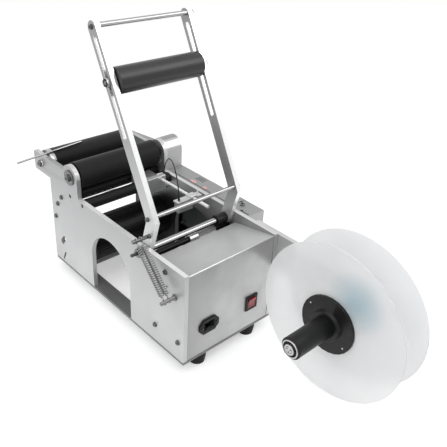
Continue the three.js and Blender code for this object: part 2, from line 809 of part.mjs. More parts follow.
function rollers() {
  const left = leftInner + rollerEndGap;
  const right = rightInner - rollerEndGap;
  add("drive_roller", ring(driveRollerRadius, driveShaftRadius + restGap, left,
    rightInner - driveRollerRightGap, driveAxisY, driveZ), looks.rubber);
  const shaftEnd = rightOuter + pulleyStart + pulleyLength;
  add("drive_shaft", turned([
    [-bearingLip, 0], [-bearingLip, journalRadius], [left, journalRadius], [left, driveShaftRadius],
    [right, driveShaftRadius], [right, journalRadius], [shaftEnd, journalRadius], [shaftEnd, 0]],
    driveAxisY, driveZ), looks.steel);
  const bore = journalRadius + turningGap;
  add("drive_bearing_left", turned([
    [-bearingLip, bore], [-bearingLip, bearingLipRadius], [-restGap, bearingLipRadius],
    [-restGap, bearingRadius], [leftInner, bearingRadius], [leftInner, bore], [-bearingLip, bore]],
    driveAxisY, driveZ), looks.steel);
  add("drive_bearing_right", turned([
    [rightInner, bore], [rightInner, bearingRadius], [rightOuter + restGap, bearingRadius],
    [rightOuter + restGap, bearingLipRadius], [rightOuter + bearingLip, bearingLipRadius],
    [rightOuter + bearingLip, bore], [rightInner, bore]], driveAxisY, driveZ), looks.steel);
  const takeUpEnd = rightOuter + pulleyStart + pulleyLength;
  const groove = takeUpRadius - restGap;
  add("take_up_roller", turned([
    [-bearingLip, 0], [-bearingLip, takeUpJournalRadius], [left, takeUpJournalRadius], [left, takeUpRadius],
    [left + takeUpCapLength, takeUpRadius], [left + takeUpCapLength, groove], [right, groove],
    [right, takeUpJournalRadius], [takeUpEnd, takeUpJournalRadius], [takeUpEnd, 0]],
    takeUpAxisY, takeUpZ), looks.rubber);
  const pinLength = pinInner.distanceTo(pinOuter);
  const pinTurn = new THREE.Quaternion().setFromUnitVectors(
    new THREE.Vector3(1, 0, 0), pinInner.clone().sub(pinOuter).normalize());
  const pin = rod(pinRodRadius, 0, pinLength, 0, 0, pinSides).applyQuaternion(pinTurn);
  add("liner_pin", pin.translate(pinOuter.x, pinOuter.y, pinOuter.z), looks.chrome);
  for (const [name, radius, y, height] of [
    ["nip_roller", nipRadius, nipAxisY, nipAxisHeight],
    ["guide_roller", guideRollerRadius, guideRollerY, guideRollerHeight],
  ]) {
    add(name, turned([
      [leftInner - journalDepth, 0], [leftInner - journalDepth, smallJournalRadius],
      [leftInner + restGap * 2, smallJournalRadius], [leftInner + restGap * 2, radius],
      [rightInner - restGap * 2, radius], [rightInner - restGap * 2, smallJournalRadius],
      [rightInner + journalDepth, smallJournalRadius], [rightInner + journalDepth, 0]],
      y, plateBottom + height, sleeveSides), looks.rubber);
  }
  add("tie_rod", rod(tieRodRadius, leftInner + restGap, rightInner - restGap, tieRodY,
    plateBottom + tieRodHeight), looks.chrome);
  const webZ = plateBottom + webRodHeight;
  add("web_guide_rod", rod(webRodRadius, leftInner + restGap, rightInner - restGap, webRodY, webZ),
    looks.black);
  const guideBore = webRodRadius + turningGap;
  const sleeveStart = guideStart + guideFlangeLength;
  const guideEnd = sleeveStart + guideSleeveLength;
  add("label_guide", turned([
    [guideStart, guideBore], [guideStart, guideFlangeRadius], [sleeveStart, guideFlangeRadius],
    [sleeveStart, guideSleeveRadius], [guideEnd, guideSleeveRadius], [guideEnd, guideBore],
    [guideStart, guideBore]], webRodY, webZ, sleeveSides), looks.white);
}

// one arm of the lever: a lower leg from the pivot to the knee and a long slotted bar above it
function armOutline() {
  const half = armWidth / 2;
  const pivot = new THREE.Vector2(pivotY, pivotZ);
  const lower = knee.clone().sub(pivot).normalize();
  const upper = leverDirection;
  const normal = (direction) => new THREE.Vector2(direction.y, -direction.x);
  const miter = normal(lower).add(normal(upper)).multiplyScalar(half / (1 + lower.dot(upper)));
  const top = onLever(leverLength + leverTopOverhang - half);
  const tilt = Math.atan2(upper.y, upper.x);
  const heel = Math.atan2(lower.y, lower.x);
  const shape = new THREE.Shape();
  shape.absarc(top.x, top.y, half, tilt - Math.PI / 2, tilt + Math.PI / 2, false);
  shape.lineTo(knee.x - miter.x, knee.y - miter.y);
  shape.absarc(pivot.x, pivot.y, half, heel + Math.PI / 2, heel + 3 * Math.PI / 2, false);
  shape.lineTo(knee.x + miter.x, knee.y + miter.y);
  shape.closePath();
  shape.holes.push(circleHole(pivotY, pivotZ, pivotRadius + turningGap));
  shape.holes.push(slotHole(onLever(slotStart), onLever(slotEnd), pressAxleRadius + turningGap));
  return shape;
}

function pressLever() {
  add("press_arm_left", slab(armOutline(), leftArmX, leftArmX + armThickness), looks.aluminium);
  add("press_arm_right", slab(armOutline(), rightArmX, rightArmX + armThickness), looks.aluminium);
  const start = leftArmX + armThickness + restGap;
  const end = rightArmX - restGap;
  const top = onLever(leverLength, rodForward);
  const cross = onLever(crossRodAt, rodForward);
  add("handle_rod", rod(handleRadius, start, end, top.x, top.y), looks.chrome);
  add("cross_rod", rod(crossRodRadius, start, end, cross.x, cross.y), looks.chrome);
  add("upper_spring_post", rod(postRadius, -upperPostReach,
    leftArmX - restGap, upperPost.x, upperPost.y, pinSides), looks.steel);
  const axle = onLever(pressRollerAt);
  const nutStart = leftArmX - restGap - axleNutLength;
  const nutEnd = rightArmX + armThickness + restGap + axleNutLength;
  add("press_axle", rod(pressAxleRadius, nutStart - restGap, nutEnd + restGap, axle.x, axle.y), looks.steel);
  const bore = pressAxleRadius + restGap;
  add("axle_nut_left", nut(axleNutRadius, bore, nutStart, leftArmX - restGap, axle.x, axle.y), looks.steel);
  add("axle_nut_right", nut(axleNutRadius, bore, rightArmX + armThickness + restGap, nutEnd,
    axle.x, axle.y), looks.steel);
  add("press_roller", ring(pressRollerRadius, pressAxleRadius + turningGap,
    leftArmX + armThickness + pressRollerSideGap, rightArmX - pressRollerSideGap,
    axle.x, axle.y), looks.rubber);
}

function pivot() {
  const stubEnd = -pivotStubLength;
  const rightEnd = rightOuter + pivotNutLength + restGap;
  add("pivot_shaft", turned([
    [stubEnd, 0], [stubEnd, pivotStubRadius], [0, pivotStubRadius], [0, pivotRadius],
    [rightOuter, pivotRadius], [rightOuter, pivotStubRadius], [rightEnd, pivotStubRadius], [rightEnd, 0]],
    pivotY, pivotZ), looks.chrome);
  const bore = pivotStubRadius + restGap;
  add("pivot_nut_left", nut(pivotNutRadius, bore, -restGap - pivotNutLength, -restGap, pivotY, pivotZ),
    looks.steel);
  add("pivot_nut_right", nut(pivotNutRadius, bore, rightOuter + restGap,
    rightOuter + restGap + pivotNutLength, pivotY, pivotZ), looks.steel);
  const collarEnd = rightArmX - restGap;
  add("shaft_collar", ring(collarRadius, pivotRadius + restGap, collarEnd - collarLength, collarEnd,
    pivotY, pivotZ, sleeveSides), looks.black);
}

// One tension spring as a single tube: a straight run off the upper post, the curls, and a straight run
// on to the lower post. The wire's centre line is worked out first, then skinned.
function springCentreLine(upperX, lowerX) {
  const from = new THREE.Vector3(upperX, upperPost.x, upperPost.y);
  const to = new THREE.Vector3(lowerX, lowerPostY, plateBottom + lowerPostHeight);
  const along = to.clone().sub(from).normalize();
  const up = new THREE.Vector3(1, 0, 0).cross(along).negate().normalize();
  const across = new THREE.Vector3().crossVectors(up, along);
  const startRun = postRadius + restGap;
  const length = from.distanceTo(to) - 2 * startRun;
  const coil = length - 2 * springHookRun;
  const steps = springCurls * curlSteps;
  const ramp = curlSteps / 2;
  const points = [];
  const radials = [];
  const place = (distance, radius, angle) => {
    const radial = across.clone().multiplyScalar(Math.cos(angle)).addScaledVector(up, Math.sin(angle));
    points.push(from.clone().addScaledVector(along, startRun + distance).addScaledVector(radial, radius));
    radials.push(radial);
  };
  place(0, 0, 0);
  place(2 * wireRadius, 0, 0);
  for (let step = 0; step <= steps; step += 1) {
    const share = Math.min(1, step / ramp, (steps - step) / ramp);
    place(springHookRun + (coil * step) / steps, coilRadius * share, (2 * Math.PI * step) / curlSteps);
  }
  place(length - 2 * wireRadius, 0, 0);
  place(length, 0, 0);
  return { points, radials };
}

function skinWire({ points, radials }) {
  const positions = [];
  points.forEach((point, index) => {
    const before = points[Math.max(0, index - 1)];
    const after = points[Math.min(points.length - 1, index + 1)];
    const tangent = after.clone().sub(before).normalize();
    const side = radials[index].clone().addScaledVector(tangent, -tangent.dot(radials[index])).normalize();
    const other = new THREE.Vector3().crossVectors(tangent, side);
    for (let k = 0; k < wireSides; k += 1) {
      const angle = (2 * Math.PI * k) / wireSides;
      const spot = point.clone().addScaledVector(side, wireRadius * Math.cos(angle))
        .addScaledVector(other, wireRadius * Math.sin(angle));
      positions.push(spot.x, spot.y, spot.z);
    }
  });
  const faces = [];
  for (let i = 0; i < points.length - 1; i += 1) {
    for (let k = 0; k < wireSides; k += 1) {
      const next = (k + 1) % wireSides;
      const a = i * wireSides + k;
      const b = i * wireSides + next;
      faces.push(a, b, a + wireSides, b, b + wireSides, a + wireSides);
    }
  }
  const last = (points.length - 1) * wireSides;
  for (let k = 1; k < wireSides - 1; k += 1) {
    faces.push(0, k + 1, k);
    faces.push(last, last + k, last + k + 1);
  }
  const geometry = new THREE.BufferGeometry();
  geometry.setAttribute("position", new THREE.Float32BufferAttribute(positions, 3));
  geometry.setIndex(faces);
  geometry.computeVertexNormals();
  return geometry;
}

// the least gap of a wire to itself, over points at least half a curl apart
function leastGap({ points }) {
  let least = Infinity;
  for (let i = 0; i < points.length; i += 1) {
    for (let j = i + curlSteps / 2; j < points.length; j += 1) {
      least = Math.min(least, points[i].distanceTo(points[j]) - 2 * wireRadius);
    }
  }
  return least;
}

function springs() {
  for (const [name, further] of [["spring_inner", 0], ["spring_outer", springSpacing]]) {
    const line = springCentreLine(-springInsetUpper - further, -springInsetLower - further);
    console.log(`${name}: least gap to itself ${leastGap(line).toFixed(2)} mm`);
    add(name, skinWire(line), looks.steel);
  }
  add("lower_spring_post", turned([
    [-lowerPostReach, 0], [-lowerPostReach, postRadius], [-restGap - lowerPostHeadLength, postRadius],
    [-restGap - lowerPostHeadLength, lowerPostHeadRadius], [-restGap, lowerPostHeadRadius], [-restGap, 0]],
    lowerPostY, plateBottom + lowerPostHeight, pinSides), looks.steel);
}

function sensor() {
  const railZ = plateBottom + railHeight;
  const rail = rod(railRadius, -bracketY - bracketSeat, -railFrontY, 0, 0, pinSides).rotateZ(-Math.PI / 2);
  add("sensor_rail", rail.translate(railX, 0, railZ), looks.chrome);
  const upright = block(bracketLeftX, bracketRightX, bracketY, bracketY + bracketThickness,
    plateBottom + bracketBottom, plateBottom + bracketTop);
  const leg = block(bracketLeftX, bracketRightX, bracketY + bracketThickness / 2, tieRodY + bracketEyeHalf,
    plateBottom + bracketLegBottom, plateBottom + bracketLegTop);
  const eye = block(bracketLeftX, bracketRightX, tieRodY - bracketEyeHalf, tieRodY + bracketEyeHalf,
    plateBottom + bracketEyeBottom, plateBottom + bracketLegTop);
  const rodBore = rod(tieRodRadius + restGap, bracketLeftX - cutOverrun, bracketRightX + cutOverrun,
    tieRodY, plateBottom + tieRodHeight);
  const railSeat = rod(railRadius + restGap, -bracketY - bracketSeat - restGap, cutOverrun - bracketY,
    0, 0, pinSides)
    .rotateZ(-Math.PI / 2).translate(railX, 0, railZ);
  add("sensor_bracket", cut(join(upright, leg, eye), rodBore, railSeat), looks.aluminium);
  const topZ = railZ + headPlateThickness / 2;
  const plateZ = topZ - headPlateThickness;
  const plate = block(headPlateLeftX, headPlateRightX, headY, headY + headDepth, plateZ, topZ);
  const slider = block(railX - headBlockHalf, railX + headBlockHalf, headY, headY + headDepth,
    railZ - headBlockHalf, railZ + headBlockTop);
  const stud = rod(studRadius, -topZ - studHeight, headPlateThickness / 2 - topZ, 0, 0, studSides)
    .rotateY(Math.PI / 2).translate(studX, headY + headDepth / 2, 0);
  const holder = block(headHolderLeftX, headHolderRightX, headY, headY + headDepth,
    plateBottom + headHolderBottom, plateZ + headPlateThickness / 2);
  const bore = rod(railRadius + turningGap, -headY - headDepth - cutOverrun, -headY + cutOverrun,
    0, 0, pinSides)
    .rotateZ(-Math.PI / 2).translate(railX, 0, railZ);
  add("sensor_head", cut(join(plate, slider, holder, stud), bore), looks.aluminium);
  // the lead rises from the head, arches over and goes down into the control box
  const lead = (x, y, z) => new THREE.Vector3(x, y, z);
  const headMidY = headY + headDepth / 2;
  const exitZ = plateBottom + leadEndHeight;
  const route = new THREE.CatmullRomCurve3([
    lead(leadX, headMidY, topZ + restGap),
    lead(leadX, headMidY, topZ + leadStraight),
    ...leadArchX.map((x, i) => lead(
      x, THREE.MathUtils.lerp(headMidY, leadDropY, leadArchShares[i]), deckZ + leadArchRise[i])),
    lead(leadDropX, leadDropY, deckZ),
    lead(leadDropX, leadDropY, deckZ - leadFall),
    ...leadTurnX.map((x, i) => lead(
      x, leadDropY - leadTurnForward[i], plateBottom + guideUnderside - leadTurnDrop[i])),
    lead(rightInner - leadStraight, leadEndY, exitZ),
    lead(rightInner - leadStraight / 2, leadEndY, exitZ),
    lead(rightInner + leadStraight / 2, leadEndY, exitZ),
    lead(rightOuter, leadEndY, exitZ),
    lead(leadEndX, leadEndY, exitZ),
  ]);
  const section = new THREE.Shape().absarc(0, 0, leadRadius, 0, 2 * Math.PI, false);
  add("sensor_lead", new THREE.ExtrudeGeometry(section, {
    steps: leadSteps, extrudePath: route, bevelEnabled: false, curveSegments: leadSides / 2 }), looks.black);
}

function spool() {
  const armX = rightOuter + restGap;
  const armTop = deckZ - coverTopDrop;
  const arm = new THREE.Shape();
  arm.moveTo(spoolArmRearY, armTop);
  arm.lineTo(spoolArmShoulderY, armTop);
  arm.absarc(spoolY, spoolZ, spoolArmHubRadius, Math.PI / 2, 3 * Math.PI / 2, false);
  arm.lineTo(spoolArmRearY, plateBottom + spoolArmRearBottom);
  arm.closePath();
  arm.holes.push(circleHole(spoolY, spoolZ, spoolAxleRadius + restGap));
  add("spool_arm", slab(arm, armX, armX + spoolArmThickness), looks.aluminium);
  const tail = armX + spoolArmThickness + restGap;
  const bearingX = coreEndX + endBearingLength;
  add("spool_axle", turned([
    [bearingX - axleHeadLength, 0], [bearingX - axleHeadLength, axleHeadRadius], [coreEndX, axleHeadRadius],
    [bearingX + restGap, axleHeadRadius], [bearingX + restGap, spoolAxleRadius], [tail, spoolAxleRadius],
    [tail, axleTailRadius], [tail + axleTailLength, axleTailRadius], [tail + axleTailLength, 0]],
    spoolY, spoolZ), looks.steel);
  const bore = coreRadius - coreWall;
  add("core_tube", ring(coreRadius, bore, bearingX + restGap, coreRearX, spoolY, spoolZ), looks.black);
  add("end_bearing", ring(endBearingRadius, axleHeadRadius + turningGap, coreEndX, bearingX, spoolY, spoolZ),
    looks.steel);
  const hug = coreRadius + restGap;
  add("rear_disc", ring(discRadius, hug, rearDiscX, rearDiscX + discThickness, spoolY, spoolZ, discSides),
    looks.milky);
  add("rear_flange", ring(flangeRadius, hug, rearDiscX + discThickness + restGap,
    rearDiscX + discThickness + restGap + flangeThickness, spoolY, spoolZ), looks.black);
  const slide = coreRadius + turningGap;
  add("front_disc", ring(discRadius, slide, frontDiscX, frontDiscX + discThickness,
    spoolY, spoolZ, discSides),
    looks.milky);
  const flangeEnd = frontDiscX - restGap;
  const hubStart = flangeEnd - flangeThickness - hubLength;
  add("front_flange", turned([
    [hubStart, slide], [hubStart, hubRadius], [flangeEnd - flangeThickness, hubRadius],
    [flangeEnd - flangeThickness, flangeRadius], [flangeEnd, flangeRadius], [flangeEnd, slide],
    [hubStart, slide]], spoolY, spoolZ), looks.black);
}

baseAndFeet();
sidePlates();
frontCover();
powerInlet();
rockerSwitch();
controlBox();
beltCover();
drive();
rollers();
pressLever();
pivot();
springs();
sensor();
spool();

// the part's origin: on the floor, under the middle of the whole machine
const bounds = new THREE.Box3().setFromObject(works, true);
const middle = bounds.getCenter(new THREE.Vector3());
works.position.set(-middle.x, -middle.y, 0);

export default machine;
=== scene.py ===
import json
import math

import bmesh
import bpy
from mathutils import Matrix, Vector


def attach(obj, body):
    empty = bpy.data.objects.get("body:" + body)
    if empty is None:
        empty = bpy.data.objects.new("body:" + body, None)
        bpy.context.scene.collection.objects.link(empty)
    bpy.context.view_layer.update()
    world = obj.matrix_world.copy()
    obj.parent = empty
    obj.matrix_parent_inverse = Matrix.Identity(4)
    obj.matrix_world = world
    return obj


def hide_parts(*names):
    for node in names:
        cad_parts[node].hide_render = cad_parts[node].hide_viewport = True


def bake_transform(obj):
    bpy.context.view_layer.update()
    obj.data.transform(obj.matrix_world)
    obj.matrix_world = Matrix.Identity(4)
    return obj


# Sizes below are in millimetres: x from the left plate's outer face, y from the plates' front edges and
# heights from the plates' lower edge, which stands plateBottom over the floor.
plateBottom = 30.0
originShift = Vector((-102.919, -87.0, plateBottom))
perMetre = 1000


def at(x, y, height):
    return (Vector((x, y, height)) + originShift) / perMetre


# camera, fitted to the edges of the plates in the photo
photoView = {"azimuth": -44.4, "elevation": 31.04, "roll": 3.49, "spot": (-516.75, -609.66, 778.27),
             "focalPixels": 603.0, "pictureWidth": 447, "sensorWidth": 36, "farthest": 50}
azimuth, elevation, roll = (math.radians(photoView[key]) for key in ("azimuth", "elevation", "roll"))
back = Vector((math.sin(azimuth) * math.cos(elevation), -math.cos(azimuth) * math.cos(elevation),
               math.sin(elevation)))
right = Vector((0, 0, 1)).cross(back).normalized()
up = back.cross(right)
camRight = right * math.cos(roll) + up * math.sin(roll)
camUp = -right * math.sin(roll) + up * math.cos(roll)
camData = bpy.data.cameras.new("photoCamera")
camData.sensor_width = photoView["sensorWidth"]
camData.lens = photoView["focalPixels"] / photoView["pictureWidth"] * photoView["sensorWidth"]
camData.clip_end = photoView["farthest"]
camera = bpy.data.objects.new("photoCamera", camData)
turn = Matrix((camRight, camUp, back)).transposed().to_4x4()
camera.matrix_world = Matrix.Translation(at(*photoView["spot"])) @ turn
bpy.context.scene.collection.objects.link(camera)
bpy.context.scene.camera = camera

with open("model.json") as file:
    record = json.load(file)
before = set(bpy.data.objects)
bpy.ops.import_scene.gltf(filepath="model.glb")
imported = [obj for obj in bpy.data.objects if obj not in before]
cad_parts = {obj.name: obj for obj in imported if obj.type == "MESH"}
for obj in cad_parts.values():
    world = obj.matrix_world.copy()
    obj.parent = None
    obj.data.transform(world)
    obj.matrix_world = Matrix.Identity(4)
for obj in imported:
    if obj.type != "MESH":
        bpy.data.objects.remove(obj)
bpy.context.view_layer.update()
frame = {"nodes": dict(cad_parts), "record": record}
print("frame loaded")


# node values and node trees

bumpDepth = 0.0002
# noise seldom leaves these spans, so tones and roughness reach their ends within them
grainSpan, cloudSpan = (0.3, 0.7), (0.35, 0.65)
grainNoise = {"detail": 4.0, "rough": 0.6}
grainInRoughness = 0.6
scratches = {"scale": 34, "stretch": (1, 1.2, 46), "detail": 2.0, "rough": 0.7, "span": (0.62, 0.7),
             "lighter": 0.2}


class Wire:
    # a node's output that can be added and scaled

    def __init__(self, graph, socket):
        self.graph, self.socket = graph, socket

    def __add__(self, other):
        return self.graph.node("ShaderNodeMath", {"operation": "ADD"}, self, other)

    def __mul__(self, other):
        return self.graph.node("ShaderNodeMath", {"operation": "MULTIPLY"}, self, other)

    __radd__ = __add__
    __rmul__ = __mul__

    def spread(self, low, high, newLow=0.0, newHigh=1.0):
        # from one range to another, held at the ends
        return self.graph.node("ShaderNodeMapRange", {"clamp": True}, self, low, high, newLow, newHigh)


class Graph:
    # a node tree and what is built in it

    def __init__(self, tree):
        self.tree = tree

    def join(self, value, socket):
        if isinstance(value, Wire):
            self.tree.links.new(value.socket, socket)
        else:
            socket.default_value = value

    def node(self, kind, settings, *values, inputs=None, out=0):
        # values feed the first sockets in their order, inputs the ones that it names or numbers
        made = self.tree.nodes.new(kind)
        for key, value in settings.items():
            setattr(made, key, value)
        for key, value in (*enumerate(values), *(inputs or {}).items()):
            self.join(value, made.inputs[key])
        return Wire(self, made.outputs[out])

    def objectSpace(self, scale=(1, 1, 1)):
        place = self.node("ShaderNodeTexCoord", {}, out="Object")
        return self.node("ShaderNodeVectorMath", {"operation": "MULTIPLY"}, place, scale)

    def noise(self, scale, stretch=(1, 1, 1), detail=2.0, rough=0.5):
        return self.node("ShaderNodeTexNoise", {}, inputs={
            "Vector": self.objectSpace(stretch), "Scale": scale, "Detail": detail, "Roughness": rough})

    def mixColour(self, share, first, second):
        # sockets 6 and 7 and output 2 are the mix node's colours
        inputs = {0: share, 6: first, 7: second}
        return self.node("ShaderNodeMix", {"data_type": "RGBA"}, inputs=inputs, out=2)

    def bump(self, strength, height):
        return self.node("ShaderNodeBump", {}, inputs={
            "Strength": strength, "Distance": bumpDepth, "Height": height})

    def whiteRays(self):
        # 1 for rays from the camera and for mirrored or transmitted ones, 0 for those that only light
        kinds = ("Is Camera Ray", "Is Glossy Ray", "Is Transmission Ray")
        camera, glossy, through = (self.node("ShaderNodeLightPath", {}, out=kind) for kind in kinds)
        return (camera + glossy + through).spread(0, 1)


def grey(level):
    return (level, level, level, 1)


def newPaint(name):
    material = bpy.data.materials.new(name)
    material.use_nodes = True
    return material, Graph(material.node_tree), material.node_tree.nodes["Principled BSDF"].inputs


def surface(name, recipe):
    # tone with grain and wear, painted shading where a fade is given, roughness that varies, and a fine bump
    recipe = {**usualFinish, **recipe}
    material, graph, shader = newPaint(name)
    tone, share = recipe["tone"], recipe["cloud"]
    dark = tuple(level * (1 - recipe["contrast"]) for level in tone[:3]) + (1,)
    grain = graph.noise(recipe["grainScale"], recipe["stretch"], **grainNoise)
    cloud = graph.noise(recipe["cloudScale"])
    mixed = grain.spread(*grainSpan) * (1 - share) + cloud.spread(*cloudSpan) * share
    colour = graph.mixColour(mixed, dark, tone)
    if "scratch" in recipe:
        # thin faint lines, lighter than the surface, along the rolling direction
        lines = graph.noise(scratches["scale"], scratches["stretch"], scratches["detail"], scratches["rough"])
        lines = lines.spread(*scratches["span"], 0, recipe["scratch"])
        colour = graph.mixColour(lines, colour, grey(tone[0] + scratches["lighter"]))
    if "fade" in recipe:
        # painted light and shade: another tone toward one side, between two places along an axis, which is
        # the height if not given
        fade = recipe["fade"]
        axis = fade.get("axis", 2)
        place = graph.node("ShaderNodeSeparateXYZ", {}, graph.objectSpace(), out=axis)
        start, end = ((fade[key] + originShift[axis]) / perMetre for key in ("from", "to"))
        if end > start:
            faded = place.spread(start, end, 0, fade["share"])
        else:
            faded = place.spread(end, start, fade["share"], 0)
        colour = graph.mixColour(faded, colour, grey(fade["tone"]))
    graph.join(colour, shader["Base Color"])
    worn = grain * grainInRoughness + cloud * (1 - grainInRoughness)
    graph.join(worn.spread(*grainSpan, *recipe["rough"]), shader["Roughness"])
    graph.join(graph.bump(recipe["bump"], grain), shader["Normal"])
    shader["Metallic"].default_value = recipe["metal"]
    shader["Coat Weight"].default_value = recipe["coat"]
    shader["Coat Roughness"].default_value = recipe["coatRough"]
    shader["Specular IOR Level"].default_value = recipe["specular"]
    return material


